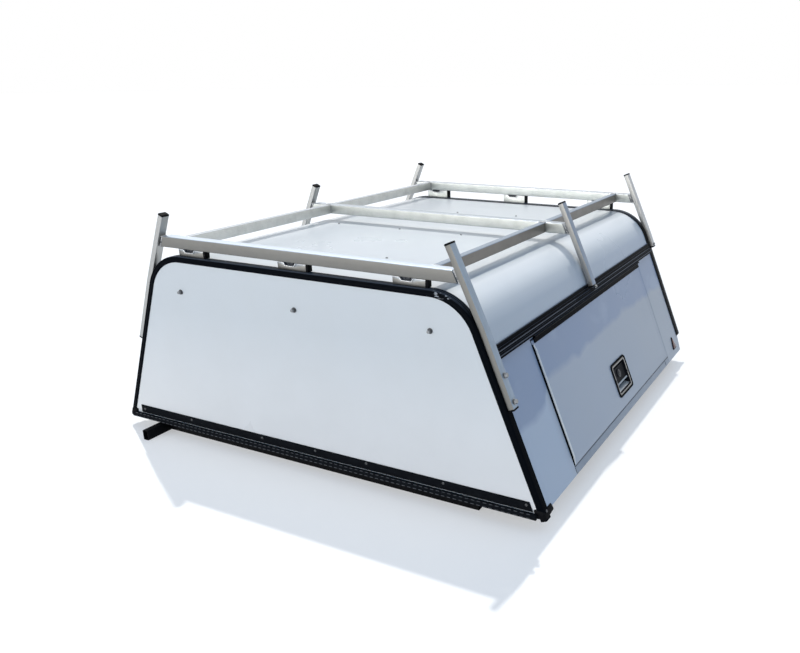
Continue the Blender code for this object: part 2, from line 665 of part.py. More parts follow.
def make_upright(name, side, label):
    """A box tube, bent a little inwards above the shoulder."""
    y = UPRIGHTS[label][0]
    points = upright_line(label)
    lean_high = SIDE_LEAN + UPRIGHT_LEAN_IN
    outer = []
    for (x, z), lean in zip(points, (SIDE_LEAN, (SIDE_LEAN + lean_high) / 2, lean_high)):
        outer.append((x + math.cos(lean) * UPRIGHT_THICKNESS, z + math.sin(lean) * UPRIGHT_THICKNESS))
    outline = [(side * x, z) for x, z in points + outer[::-1]]
    tube = prism_mesh(outline, along_y, Vector((0, UPRIGHT_DEPTH, 0)))
    to_object(name, tube, "aluminium", world(0, y, 0))


def make_stand():
    """Two runners along, and a bearer across them under each end of the canopy."""
    left = STAND_INSET_LEFT - HALF_WIDTH
    right = HALF_WIDTH - STAND_INSET_RIGHT
    front = STAND_INSET_FRONT
    rear = CAP_LENGTH - SILL_INSET - STAND_TUBE
    back_end = CAP_LENGTH + STAND_OVERHANG
    inside = left + STAND_TUBE + CLEARANCE
    runner = right - STAND_TUBE
    tubes = (
        ("front_bearer", (inside, front), (right, front + STAND_TUBE)),
        ("rear_bearer", (inside, rear), (runner - CLEARANCE, rear + STAND_TUBE)),
        ("left_runner", (left, -STAND_OVERHANG), (left + STAND_TUBE, back_end)),
        ("right_runner", (runner, front + STAND_TUBE + CLEARANCE), (right, back_end)),
    )
    for label, (x_start, y_start), (x_end, y_end) in tubes:
        high = (x_end - x_start, y_end - y_start, STAND_HEIGHT - CLEARANCE)
        tube = box_mesh((0, 0, 0), high)
        to_object(f"stand_{label}", tube, "stand", world(x_start, y_start, -STAND_HEIGHT))


make_roof()
make_front()
for side_label, side_sign in (("right", 1), ("left", -1)):
    make_side(side_label, side_sign)
make_rear()
make_crossbars()
make_stand()
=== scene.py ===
# Looks of the pickup truck canopy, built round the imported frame. The front wall faces -Y,
# the side whose door opens faces +X.
from math import copysign, cos, pi, radians, sin, tan
import bmesh
import bpy
from mathutils import Matrix, Vector


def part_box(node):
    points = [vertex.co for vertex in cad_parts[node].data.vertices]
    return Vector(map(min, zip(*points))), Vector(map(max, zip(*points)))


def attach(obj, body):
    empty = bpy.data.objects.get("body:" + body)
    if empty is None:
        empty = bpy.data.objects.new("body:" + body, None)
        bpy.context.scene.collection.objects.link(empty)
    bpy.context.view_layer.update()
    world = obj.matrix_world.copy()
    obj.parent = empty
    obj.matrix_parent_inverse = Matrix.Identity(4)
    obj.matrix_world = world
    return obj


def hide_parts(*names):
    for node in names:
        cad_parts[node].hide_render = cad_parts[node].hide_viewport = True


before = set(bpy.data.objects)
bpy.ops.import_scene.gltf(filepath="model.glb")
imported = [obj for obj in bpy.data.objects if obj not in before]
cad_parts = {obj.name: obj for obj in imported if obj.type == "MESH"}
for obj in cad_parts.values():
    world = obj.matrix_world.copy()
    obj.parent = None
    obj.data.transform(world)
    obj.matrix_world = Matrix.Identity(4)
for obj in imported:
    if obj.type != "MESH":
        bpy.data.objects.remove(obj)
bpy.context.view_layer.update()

print("frame loaded:", len(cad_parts), "nodes")

# Sizes shared by all pieces, in metres
cap = {
    "halfWidth": 0.849,
    "length": 1.600,
    "roofFront": 0.636,
    "roofRear": 0.614,
    "lean": radians(22),
    "shoulderRadius": 0.164,
    "skin": 0.003,
    "wall": 0.022,
    "sideTop": 0.4970,
    "stand": 0.038,
    "shoulderSteps": 40,
}
slope = tan(cap["lean"])
cosLean = cos(cap["lean"])
sinLean = sin(cap["lean"])
shoulderTangent = cap["shoulderRadius"] * tan((pi / 2 - cap["lean"]) / 2)

cameraPlace = {
    "location": (1.5774, -2.5793, 1.2436),
    "yaw": -0.477,
    "pitch": -0.360,
    "roll": -0.009,
    "focalPixels": 777.73,
    "axisPixel": (485.5, 362.8),
    "picture": (800, 653),
    "sensor": 36,
}


def linked(name, data):
    made = bpy.data.objects.new(name, data)
    bpy.context.scene.collection.objects.link(made)
    return made


def meshFrom(builder, name):
    mesh = bpy.data.meshes.new(name)
    builder.to_mesh(mesh)
    builder.free()
    return mesh


def ease(builder, edges, width, steps):
    return bmesh.ops.bevel(builder, geom=edges, offset=width, offset_type="OFFSET", segments=steps,
                           profile=0.5, affect="EDGES", clamp_overlap=True)


def makeCamera():
    yaw, pitch, roll = (cameraPlace[key] for key in ("yaw", "pitch", "roll"))
    wide, high = cameraPlace["picture"]
    ahead = Vector((sin(yaw) * cos(pitch), cos(yaw) * cos(pitch), sin(pitch)))
    across = Vector((cos(yaw), -sin(yaw), 0))
    up = across.cross(ahead)
    rightward = cos(roll) * across + sin(roll) * up
    upward = cos(roll) * up - sin(roll) * across
    lens = bpy.data.cameras.new("photoCamera")
    lens.sensor_fit = "HORIZONTAL"
    lens.sensor_width = cameraPlace["sensor"]
    lens.lens = cameraPlace["focalPixels"] / wide * cameraPlace["sensor"]
    lens.shift_x = (wide / 2 - cameraPlace["axisPixel"][0]) / wide
    lens.shift_y = (cameraPlace["axisPixel"][1] - high / 2) / wide
    holder = linked("photoCamera", lens)
    turn = Matrix((rightward, upward, -ahead)).transposed().to_4x4()
    turn.translation = cameraPlace["location"]
    holder.matrix_world = turn
    bpy.context.scene.camera = holder


# A socket that takes +, - and * as nodes
class Wire:
    def __init__(self, paint, socket):
        self.paint = paint
        self.socket = socket

    def __add__(self, other):
        return self.paint.maths("ADD", self, other)

    def __sub__(self, other):
        return self.paint.maths("SUBTRACT", self, other)

    def __mul__(self, other):
        return self.paint.maths("MULTIPLY", self, other)

    def spread(self, low, high, toLow=0.0, toHigh=1.0):
        return self.paint.node("ShaderNodeMapRange", {"clamp": True},
                               {0: self, 1: low, 2: high, 3: toLow, 4: toHigh})


class Paint:
    def __init__(self, name):
        self.material = bpy.data.materials.new(name)
        self.material.use_nodes = True
        self.tree = self.material.node_tree
        self.shader = self.tree.nodes["Principled BSDF"]
        self.place = self.node("ShaderNodeTexCoord", output="Object")

    def node(self, kind, settings=None, sockets=None, output=0):
        made = self.tree.nodes.new(kind)
        for key, value in (settings or {}).items():
            setattr(made, key, value)
        for key, value in (sockets or {}).items():
            self.connect(value, made.inputs[key])
        return Wire(self, made.outputs[output])

    def connect(self, value, target):
        if isinstance(value, Wire):
            self.tree.links.new(value.socket, target)
        elif isinstance(value, tuple) and target.type == "RGBA":
            target.default_value = (*value, 1)
        else:
            target.default_value = value

    def maths(self, operation, first, second):
        return self.node("ShaderNodeMath", {"operation": operation}, {0: first, 1: second})

    def stretched(self, scale):
        return self.node("ShaderNodeMapping", None, {"Vector": self.place, "Scale": scale})

    def noise(self, scale, detail=2.0, roughness=0.5, where=None):
        return self.node("ShaderNodeTexNoise", None, {"Vector": where or self.place, "Scale": scale,
                                                      "Detail": detail, "Roughness": roughness})

    def cells(self, scale):
        return self.node("ShaderNodeTexVoronoi", None, {"Vector": self.place, "Scale": scale})

    def axis(self, letter):
        return self.node("ShaderNodeSeparateXYZ", None, {0: self.place}, letter)

    def upward(self):
        normal = self.node("ShaderNodeNewGeometry", output="Normal")
        return self.node("ShaderNodeSeparateXYZ", None, {0: normal}, "Z")

    def mix(self, factor, first, second):
        return self.node("ShaderNodeMix", {"data_type": "RGBA"}, {0: factor, 6: first, 7: second}, 2)

    def finish(self, relief=None, strength=0.2, depth=0.001, **values):
        for key, value in values.items():
            self.connect(value, self.shader.inputs[key.replace("_", " ")])
        if relief is not None:
            bump = self.node("ShaderNodeBump", None,
                             {"Height": relief, "Strength": strength, "Distance": depth})
            self.connect(bump, self.shader.inputs["Normal"])
        return self.material


# White paint: colour, worn, dust and speck are the paint's own; the lower-wall, shoulder, crest and rear-roof
# tones are painted light, a brighter lower wall, painted shade on the shoulder, a painted highlight along its
# crest and painted shade towards the rear of the roof
whiteColourAndShade = {"colour": (0.65, 0.68, 0.70), "worn": (0.64, 0.672, 0.695), "dust": (0.52, 0.51, 0.47),
               "low": (0.83, 0.825, 0.82), "bend": (0.46, 0.53, 0.63), "crestHighlight": (0.86, 0.87, 0.87),
               "roofRear": (0.56, 0.58, 0.60), "speck": (0.20, 0.19, 0.17)}
# painted shade and reflection on the side walls; frontEnd is where the front panel's painted tone ends,
# skyLow the height where the painted reflection of the sky begins
sideShadeAndReflection = {"front": (0.50, 0.58, 0.69), "door": (0.465, 0.51, 0.58), "rear": (0.425, 0.46, 0.51),
              "frontEnd": -0.545, "frontFade": 0.03, "sky": (0.240, 0.325, 0.485),
              "paintedCloud": (0.40, 0.49, 0.62), "skyLow": 0.343, "skyFade": 0.022, "skyWave": 0.10,
              "frontDrop": 0.080}
# Black trim: colour and dust are its own; top is a painted reflection on faces that look up, and the pale
# marks are painted glints
trimColourAndSheen = {"colour": (0.003, 0.004, 0.006), "dust": (0.014, 0.016, 0.020), "top": (0.070, 0.080, 0.098),
              "paintedGlint": (0.42, 0.44, 0.47)}
rubberFinish = {"colour": (0.006, 0.007, 0.009), "dust": (0.024, 0.027, 0.031)}
# Painted reflection and shade on the bare metal: each kind is a lit or shaded copy of the same aluminium or
# steel, with face for faces that stand upright or look down, sky for faces tilted up and top for faces that
# look up
metalShadeAndReflection = {
    "front": {"face": (0.188, 0.186, 0.176), "sky": (0.235, 0.300, 0.385), "top": (0.480, 0.550, 0.640)},
    "post": {"face": (0.330, 0.330, 0.322), "sky": (0.190, 0.245, 0.335), "top": (0.300, 0.310, 0.320)},
    "rail": {"face": (0.165, 0.156, 0.142), "sky": (0.195, 0.255, 0.360), "top": (0.215, 0.265, 0.335)},
    "middle": {"face": (0.180, 0.187, 0.195), "sky": (0.280, 0.330, 0.415), "top": (0.250, 0.262, 0.275)},
    "pale": {"face": (0.400, 0.405, 0.400), "sky": (0.400, 0.425, 0.460), "top": (0.300, 0.310, 0.320)},
    # painted reflection: paler, because these faces look over the white roof
    "middleBar": {"face": (0.480, 0.500, 0.485), "sky": (0.400, 0.440, 0.500), "top": (0.330, 0.370, 0.420)},
    "rearBar": {"face": (0.500, 0.530, 0.520), "sky": (0.420, 0.450, 0.490), "top": (0.330, 0.360, 0.400)},
    "leftRail": {"face": (0.700, 0.705, 0.675), "sky": (0.450, 0.480, 0.520), "top": (0.400, 0.430, 0.470)},
    "steel": {"face": (0.42, 0.41, 0.39), "sky": (0.42, 0.43, 0.44), "top": (0.42, 0.43, 0.44)},
}
metalDull = (0.12, 0.118, 0.112)


def whitePaint(name="whitePaint", side=False):
    paint = Paint(name)
    broad = paint.noise(1.7, 3.0)
    fine = paint.noise(9.0, 3.0, 0.55)
    streak = paint.noise(5.0, 1.0, 0.5, paint.stretched((1.0, 1.0, 0.12)))
    dirt = fine.spread(0.35, 1.0, 0.0, 0.10) + streak.spread(0.30, 1.0, 0.0, 0.08)
    tone = paint.mix(broad.spread(0.3, 0.7), whiteColourAndShade["colour"], whiteColourAndShade["worn"])
    along, height, up = paint.axis("Y"), paint.axis("Z"), paint.upward()
    # the side walls carry painted shade and reflection: darker bluish tones for the front panel, the door and
    # the rear panel, and a painted reflection of sky and clouds over their upper part
    if side:
        end, fade = sideShadeAndReflection["frontEnd"], sideShadeAndReflection["frontFade"]
        front = along.spread(end - fade, end + fade, 1.0, 0.0)
        tone = paint.mix(along.spread(-0.2, 0.6), sideShadeAndReflection["door"], sideShadeAndReflection["rear"])
        tone = paint.mix(front, tone, sideShadeAndReflection["front"])
        low = sideShadeAndReflection["skyLow"]
        wave = (paint.noise(5.0, 2.0) - 0.5) * sideShadeAndReflection["skyWave"]
        rise = height + wave + front * sideShadeAndReflection["frontDrop"]
        paintedCloud = paint.noise(7.0, 3.0, 0.55, paint.stretched((1.0, 0.55, 1.0))).spread(0.56, 0.66, 0.0, 0.45)
        sky = paint.mix(paintedCloud, sideShadeAndReflection["sky"], sideShadeAndReflection["paintedCloud"])
        tone = paint.mix(rise.spread(low, low + sideShadeAndReflection["skyFade"], 0.0, 0.85), tone, sky)
    else:
        # painted light: walls brighter towards the bottom
        tone = paint.mix(height.spread(0.06, 0.50, 1.0, 0.0), tone, whiteColourAndShade["low"])
        # painted shade: the shoulder turns bluish, with streaks along its length, more so towards the rear
        bend = up.spread(0.10, 0.30) * up.spread(0.40, 0.72, 1.0, 0.0) * along.spread(-0.8, 0.8, 0.35, 1.0)
        lines = paint.noise(30.0, 3.0, 0.6, paint.stretched((1.0, 0.02, 1.0))).spread(0.35, 0.7, 0.8, 1.0)
        tone = paint.mix(bend * lines, tone, whiteColourAndShade["bend"])
        # painted highlight: a paler band along the shoulder's crest
        crestHighlight = up.spread(0.60, 0.82) * up.spread(0.93, 0.985, 1.0, 0.0) * height.spread(0.45, 0.5)
        tone = paint.mix(crestHighlight, tone, whiteColourAndShade["crestHighlight"])
        # painted shade: the roof darker towards the rear
        tone = paint.mix(up.spread(0.93, 0.99) * along.spread(0.0, 0.6), tone, whiteColourAndShade["roofRear"])
    colour = paint.mix(dirt, tone, whiteColourAndShade["dust"])
    specks = paint.cells(38.0).spread(0.012, 0.022, 0.55, 0.0)
    colour = paint.mix(specks, colour, whiteColourAndShade["speck"])
    roughness = broad.spread(0.3, 0.7, 0.26, 0.32) + dirt * 0.2
    peel = paint.noise(160.0, 1.0)
    return paint.finish(peel, 0.02, 0.0003, Base_Color=colour, Roughness=roughness, Coat_Weight=0.12,
                        Coat_Roughness=0.30, Specular_IOR_Level=0.4)


def blackTrim():
    paint = Paint("blackTrim")
    dust = paint.noise(40.0, 5.0, 0.7).spread(0.5, 0.85) * paint.upward().spread(-0.2, 1.0, 0.05, 0.35)
    # painted reflection: faces that look up turn a paler bluish grey
    base = paint.mix(paint.upward().spread(0.60, 0.92), trimColourAndSheen["colour"], trimColourAndSheen["top"])
    colour = paint.mix(dust, base, trimColourAndSheen["dust"])
    reach, deep, height = paint.axis("X"), paint.axis("Y"), paint.axis("Z")
    # painted glints: pale marks near the front trim's top right corner stand in for highlights
    corner = reach.spread(0.495, 0.510) * reach.spread(0.560, 0.575, 1.0, 0.0) * deep.spread(-0.797, -0.799)
    glintMarks = paint.noise(90.0, 2.0, 0.5, paint.stretched((1.0, 1.0, 2.4))).spread(0.55, 0.60)
    colour = paint.mix(corner * height.spread(0.655, 0.660) * glintMarks, colour, trimColourAndSheen["paintedGlint"])
    roughness = paint.noise(12.0, 3.0).spread(0.3, 0.7, 0.15, 0.24) + dust * 0.4
    grain = paint.noise(900.0, 2.0)
    return paint.finish(grain, 0.05, 0.0002, Base_Color=colour, Roughness=roughness, IOR=1.055)


def blackRubber():
    paint = Paint("blackRubber")
    dust = paint.noise(55.0, 6.0, 0.7).spread(0.45, 0.8) * paint.upward().spread(-0.4, 1.0, 0.15, 0.7)
    colour = paint.mix(dust, rubberFinish["colour"], rubberFinish["dust"])
    roughness = paint.noise(20.0, 3.0).spread(0.3, 0.7, 0.55, 0.75)
    grain = paint.noise(1100.0, 3.0) + paint.cells(500.0) * 0.5
    return paint.finish(grain, 0.3, 0.0003, Base_Color=colour, Roughness=roughness, IOR=1.08)


def brushedMetal(name, along, kind, rough=0.40):
    paint = Paint(name)
    stretch = {"X": (0.02, 1.0, 1.0), "Y": (1.0, 0.02, 1.0), "Z": (1.0, 1.0, 0.02)}[along]
    lines = paint.noise(900.0, 3.0, 0.6, paint.stretched(stretch))
    blotch = paint.noise(22.0, 5.0, 0.6)
    smear = paint.noise(70.0, 4.0, 0.7, paint.stretched(tuple(0.25 + 0.75 * side for side in stretch)))
    # painted reflection: the colour follows the way each face points, from face through sky to top
    up = paint.upward()
    tone = paint.mix(up.spread(0.08, 0.34), kind["face"], kind["sky"])
    tone = paint.mix(up.spread(0.5, 0.9), tone, kind["top"])
    dull = blotch.spread(0.45, 0.8, 0.0, 0.22) + smear.spread(0.6, 0.85, 0.0, 0.14)
    dull = dull + lines.spread(0.4, 0.75, 0.0, 0.10)
    tone = paint.mix(dull, tone, metalDull)
    roughness = blotch.spread(0.3, 0.7, rough - 0.03, rough + 0.05) + lines.spread(0.3, 0.7, -0.03, 0.03)
    return paint.finish(lines, 0.10, 0.0003, Base_Color=tone, Roughness=roughness, Metallic=0.92)


def plainFinish(name, colour, worn, roughness, metallic=0.0, scale=60.0, relief=0.15, coat=0.0,
                index=1.5):
    paint = Paint(name)
    wear = paint.noise(scale, 5.0, 0.65)
    tone = paint.mix(wear.spread(0.5, 0.8, 0.0, 0.6), colour, worn)
    rough = wear.spread(0.3, 0.75, roughness - 0.07, roughness + 0.1)
    return paint.finish(paint.noise(scale * 12, 2.0), relief, 0.0003, Base_Color=tone, Roughness=rough,
                        Metallic=metallic, Coat_Weight=coat, IOR=index)


# each finish, under the slot of the record that it belongs to
finishes = {
    "white_panel": {
        "white": whitePaint(),
        "side": whitePaint("sideShadedPaint", True),
        # painted shade: the sill below the door is darker and bluer than the side
        "sill": plainFinish("sillShadePaint", (0.300, 0.345, 0.405), (0.250, 0.285, 0.335), 0.36, 0.0, 6.0, 0.02),
        # painted shade: near-black for the filler in the gap under the door
        "sillGapShade": plainFinish("seamShade", (0.105, 0.115, 0.135), (0.085, 0.092, 0.105), 0.50, 0.0, 6.0, 0.02),
        # painted highlight: a paler white for the door's lit front lip
        "lipHighlightWhite": plainFinish("lipHighlightWhite", (0.92, 0.91, 0.88), (0.85, 0.84, 0.80), 0.28, 0.0, 40.0, 0.02),
    },
    "bare_aluminium": {
        # lit and shaded copies of the aluminium, each with its own painted reflection and shade; the pale
        # ones look over the lit roof
        "frontX": brushedMetal("aluminiumFront", "X", metalShadeAndReflection["front"]),
        "alongX": brushedMetal("aluminiumAcross", "X", metalShadeAndReflection["middle"]),
        "middleX": brushedMetal("aluminiumMiddle", "X", metalShadeAndReflection["middleBar"]),
        "paleX": brushedMetal("aluminiumRear", "X", metalShadeAndReflection["rearBar"]),
        "alongY": brushedMetal("aluminiumAlong", "Y", metalShadeAndReflection["rail"]),
        "paleY": brushedMetal("aluminiumLeft", "Y", metalShadeAndReflection["leftRail"]),
        "frontZ": brushedMetal("aluminiumPost", "Z", metalShadeAndReflection["front"], 0.36),
        "alongZ": brushedMetal("aluminiumUpright", "Z", metalShadeAndReflection["post"], 0.36),
        "paleZ": brushedMetal("aluminiumLeftPost", "Z", metalShadeAndReflection["pale"], 0.36),
        # painted highlight: a brighter aluminium for the edges of the foot notches, the feet's top lips and
        # the latch ramp
        "rim": plainFinish("rimHighlight", (0.72, 0.73, 0.74), (0.50, 0.50, 0.50), 0.30, 0.5, 300.0),
        # painted shade: a dark plate for the inside of the feet's tubes
        "notch": plainFinish("footNotchShade", (0.090, 0.100, 0.118), (0.045, 0.050, 0.058), 0.45, 0.3, 60.0),
        "weld": plainFinish("weldBead", (0.42, 0.43, 0.44), (0.22, 0.22, 0.22), 0.34, 0.9, 400.0, 0.3),
    },
    "stainless": {
        "stainless": brushedMetal("stainlessSteel", "Y", metalShadeAndReflection["steel"], 0.24),
        # painted shade: the flange is a darker, tan copy of the stainless housing
        "flange": plainFinish("latchFlange", (0.115, 0.108, 0.098), (0.06, 0.056, 0.05), 0.36, 0.9, 200.0),
        # painted reflection: the paddle's lip is tinted blue
        "lip": plainFinish("latchLipReflection", (0.22, 0.27, 0.33), (0.14, 0.16, 0.18), 0.30, 0.9, 200.0),
        "bolt": plainFinish("zincBolt", (0.26, 0.27, 0.28), (0.12, 0.12, 0.12), 0.34, 1.0, 300.0),
        "lock": plainFinish("lockFace", (0.030, 0.033, 0.040), (0.012, 0.012, 0.012), 0.30, 0.8, 200.0),
    },
    "black_trim": {
        "trim": blackTrim(),
        "screw": plainFinish("greyScrew", (0.11, 0.112, 0.115), (0.05, 0.05, 0.05), 0.40, 0.4, 300.0),
        "plug": plainFinish("blackPlug", (0.006, 0.006, 0.007), (0.018, 0.018, 0.019), 0.45, index=1.10),
        # painted shade: near-black for the screw recesses, the keyholes and the grooves by the sills
        "recess": plainFinish("recessShade", (0.004, 0.004, 0.004), (0.010, 0.010, 0.010), 0.7, index=1.1),
        "lens": plainFinish("redLens", (0.075, 0.004, 0.007), (0.03, 0.003, 0.005), 0.30, 0.0, 500.0, 0.3,
                            0.2),
    },
    "black_rubber": {
        "rubber": blackRubber(),
        "rubberPale": plainFinish("dustyRubber", (0.05, 0.055, 0.065), (0.10, 0.10, 0.10), 0.6, 0.0, 200.0),
    },
    "latch_black": {
        "latch": plainFinish("latchBlack", (0.006, 0.007, 0.010), (0.020, 0.021, 0.025), 0.40, index=1.10),
    },
    "stand_black": {
        "stand": plainFinish("standPaint", (0.006, 0.006, 0.007), (0.022, 0.021, 0.020), 0.48, index=1.10),
    },
}
materials = {finish: material for group in finishes.values() for finish, material in group.items()}
slots = {finish: slot for slot, group in finishes.items() for finish in group}
print("materials made:", len(materials))


def place(x, y, z):
    return Vector((x, y - cap["length"] / 2, z + cap["stand"]))


# n goes out from the side's skin, y back from the front wall, u up the slope
def onSide(side, n, y, u):
    return place(side * (cap["halfWidth"] + n * cosLean - u * sinLean), y, n * sinLean + u * cosLean)


def roofHeight(y):
    return cap["roofFront"] + (cap["roofRear"] - cap["roofFront"]) * y / cap["length"]


def keepPiece(name, mesh, finish, body, replaced=()):
    mesh.materials.clear()
    mesh.materials.append(materials[finish])
    piece = linked(name, mesh)
    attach(piece, body)
    if replaced:
        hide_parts(*replaced)


def closeMesh(builder, name, sharp=35):
    bmesh.ops.remove_doubles(builder, verts=builder.verts, dist=1e-6)
    bmesh.ops.recalc_face_normals(builder, faces=builder.faces)
    mesh = meshFrom(builder, name)
    mesh.shade_smooth()
    mesh.set_sharp_from_angle(angle=radians(sharp))
    return mesh


def cutOut(whole, low, high):
    builder = bmesh.new()
    bmesh.ops.create_cube(builder, size=1.0)
    bmesh.ops.scale(builder, vec=high - low, verts=builder.verts)
    bmesh.ops.translate(builder, vec=(low + high) / 2, verts=builder.verts)
    piece, cutter = linked("whole", whole), linked("cutter", meshFrom(builder, "cutter"))
    modifier = piece.modifiers.new("hole", "BOOLEAN")
    modifier.operation = "DIFFERENCE"
    modifier.object = cutter
    bpy.context.view_layer.update()
    mesh = bpy.data.meshes.new_from_object(piece.evaluated_get(bpy.context.evaluated_depsgraph_get()))
    piece.modifiers.remove(modifier)
    for part in (piece, cutter):
        bpy.data.objects.remove(part)
    return mesh


def loft(name, rows, finish, body="canopy", replaced=(), sharp=35, loop=False, hole=None):
    builder = bmesh.new()
    made = [[builder.verts.new(point) for point in row] for row in rows]
    for low, high in zip(made, made[1:] + (made[:1] if loop else [])):
        count = len(low)
        for index in range(count):
            after = (index + 1) % count
            builder.faces.new((low[index], low[after], high[after], high[index]))
    if not loop:
        builder.faces.new(made[0])
        builder.faces.new(made[-1])
    mesh = closeMesh(builder, name, sharp)
    keepPiece(name, cutOut(mesh, *hole) if hole else mesh, finish, body, replaced)


def rounded(width, height, radius, steps=5, middle=(0.0, 0.0)):
    points = []
    for quarter, (across, up) in enumerate(((1, 1), (-1, 1), (-1, -1), (1, -1))):
        for step in range(steps + 1):
            angle = pi / 2 * (quarter + step / steps)
            points.append((middle[0] + across * (width / 2 - radius) + radius * cos(angle),
                           middle[1] + up * (height / 2 - radius) + radius * sin(angle)))
    return points


def stacked(name, spot, layers, finish, body="canopy", replaced=(), middle=(0.0, 0.0), loop=False,
            steps=5):
    rows = []
    for width, height, radius, n in layers:
        rows.append([spot(n, a, b) for a, b in rounded(width, height, radius, steps, middle)])
    loft(name, rows, finish, body, replaced, 40, loop)


def tube(name, spot, size, wall, corners, ends, finish, node):
    (wide, tall), (outer, inner), (first, last) = size, corners, ends
    thin = (wide - 2 * wall, tall - 2 * wall, inner)
    layers = [(wide, tall, outer, first), (wide, tall, outer, last), (*thin, last), (*thin, first)]
    stacked(name, spot, layers, finish, replaced=(node,), loop=True)


def bar(name, spot, outline, start, end, finish, body="canopy", replaced=()):
    rows = [[spot(n, along, b) for n, b in outline] for along in (start, end)]
    loft(name, rows, finish, body, replaced, 40)


class NodeTree:
    def __init__(self, name, inputs):
        self.tree = bpy.data.node_groups.new(name, "GeometryNodeTree")
        shape = self.tree.interface
        shape.new_socket("Geometry", in_out="INPUT", socket_type="NodeSocketGeometry")
        shape.new_socket("Geometry", in_out="OUTPUT", socket_type="NodeSocketGeometry")
        for label, kind in inputs.items():
            shape.new_socket(label, in_out="INPUT", socket_type="NodeSocket" + kind)
        self.start = self.tree.nodes.new("NodeGroupInput")
        self.end = self.tree.nodes.new("NodeGroupOutput")

    def node(self, kind, settings=None, sockets=None, output=0):
        made = self.tree.nodes.new(kind)
        for key, value in (settings or {}).items():
            setattr(made, key, value)
        for key, value in (sockets or {}).items():
            for part in value if isinstance(value, list) else [value]:
                if isinstance(part, bpy.types.NodeSocket):
                    self.tree.links.new(part, made.inputs[key])
                else:
                    made.inputs[key].default_value = part
        return made.outputs[output]

    def given(self, label):
        return self.start.outputs[label]

    def close(self, geometry):
        real = self.node("GeometryNodeRealizeInstances", None, {"Geometry": geometry})
        done = self.node("GeometryNodeSetMaterial", None,
                         {"Geometry": real, "Material": self.given("Finish")})
        self.tree.links.new(done, self.end.inputs[0])
        return self.tree


headSizes = ("Washer Radius", "Washer Height", "Washer Sides", "Head Radius", "Top Radius", "Head Height",
             "Head Sides")


def headTree():
    kinds = {label: "Int" if "Sides" in label else "Float" for label in headSizes}
    tree = NodeTree("fixingHeads", {**kinds, "Finish": "Material"})
    washer = tree.node("GeometryNodeMeshCylinder", None,
                       {"Vertices": tree.given("Washer Sides"), "Radius": tree.given("Washer Radius"),
                        "Depth": tree.given("Washer Height")})
    head = tree.node("GeometryNodeMeshCone", None,
                     {"Vertices": tree.given("Head Sides"), "Radius Bottom": tree.given("Head Radius"),
                      "Radius Top": tree.given("Top Radius"), "Depth": tree.given("Head Height")})
    lift = tree.node("ShaderNodeCombineXYZ", None, {"Z": tree.given("Washer Height")})
    raised = tree.node("GeometryNodeTransform", None, {"Geometry": head, "Translation": lift})
    both = tree.node("GeometryNodeJoinGeometry", None, {"Geometry": [washer, raised]})
    facing = tree.node("GeometryNodeInputNamedAttribute", {"data_type": "FLOAT_VECTOR"},
                       {"Name": "facing"})
    turn = tree.node("FunctionNodeAlignRotationToVector", {"axis": "Z"}, {"Vector": facing})
    placed = tree.node("GeometryNodeInstanceOnPoints", None,
                       {"Points": tree.given("Geometry"), "Instance": both, "Rotation": turn})
    return tree.close(placed)


def padTree():
    tree = NodeTree("sealPads", {"Size": "Vector", "Finish": "Material"})
    pad = tree.node("GeometryNodeMeshCube", None, {"Size": tree.given("Size")})
    placed = tree.node("GeometryNodeInstanceOnPoints", None,
                       {"Points": tree.given("Geometry"), "Instance": pad})
    return tree.close(placed)


def beadTree():
    tree = NodeTree("weldBeads", {"Spacing": "Float", "Radius": "Float", "Seed": "Int", "Finish": "Material"})
    line = tree.node("GeometryNodeMeshToCurve", None, {"Mesh": tree.given("Geometry")})
    even = tree.node("GeometryNodeResampleCurve", {"mode": "LENGTH"},
                     {"Curve": line, "Length": tree.given("Spacing")})
    ball = tree.node("GeometryNodeMeshIcoSphere", None, {"Radius": tree.given("Radius"), "Subdivisions": 2})
    size = tree.node("FunctionNodeRandomValue", {"data_type": "FLOAT_VECTOR"},
                     {0: (0.85, 0.85, 0.7), 1: (1.2, 1.2, 1.0), "Seed": tree.given("Seed")})
    placed = tree.node("GeometryNodeInstanceOnPoints", None,
                       {"Points": even, "Instance": ball, "Scale": size})
    return tree.close(placed)


def grown(name, tree, source, values, finish, body="canopy", facings=None):
    if facings:
        layer = source.attributes.new("facing", "FLOAT_VECTOR", "POINT")
        layer.data.foreach_set("vector", [part for facing in facings for part in facing])
    holder = linked(name, source)
    modifier = holder.modifiers.new("tree", "NODES")
    modifier.node_group = tree
    given = {**values, "Finish": materials[finish]}
    for item in tree.interface.items_tree:
        if item.in_out == "INPUT" and item.name in given:
            modifier[item.identifier] = given[item.name]
    bpy.context.view_layer.update()
    graph = bpy.context.evaluated_depsgraph_get()
    mesh = bpy.data.meshes.new_from_object(holder.evaluated_get(graph))
    holder.modifiers.remove(modifier)
    bpy.data.objects.remove(holder)
    mesh.shade_smooth()
    mesh.set_sharp_from_angle(angle=radians(40))
    keepPiece(name, mesh, finish, body)


def pointMesh(name, points, lines=()):
    mesh = bpy.data.meshes.new(name)
    mesh.from_pydata([tuple(point) for point in points], list(lines), [])
    return mesh


headKinds = {
    "hexBolt": (0.0040, 0.0040, 16, 0.0055, 0.0050, 0.0080, 6),
    "washer": (0.0085, 0.0024, 28, 0.0075, 0.0070, 0.0014, 28),
    "smallBolt": (0.0070, 0.0020, 20, 0.0052, 0.0048, 0.0040, 6),
    "postBolt": (0.0092, 0.0020, 20, 0.0078, 0.0070, 0.0068, 6),
    "panScrew": (0.0046, 0.0014, 20, 0.0042, 0.0026, 0.0016, 20),
    # recess is a thin dark insert on each screw head, painted shade for its drive recess
    "recess": (0.0001, 0.0001, 3, 0.0015, 0.0015, 0.0018, 4),
}
recessLift = 0.0014


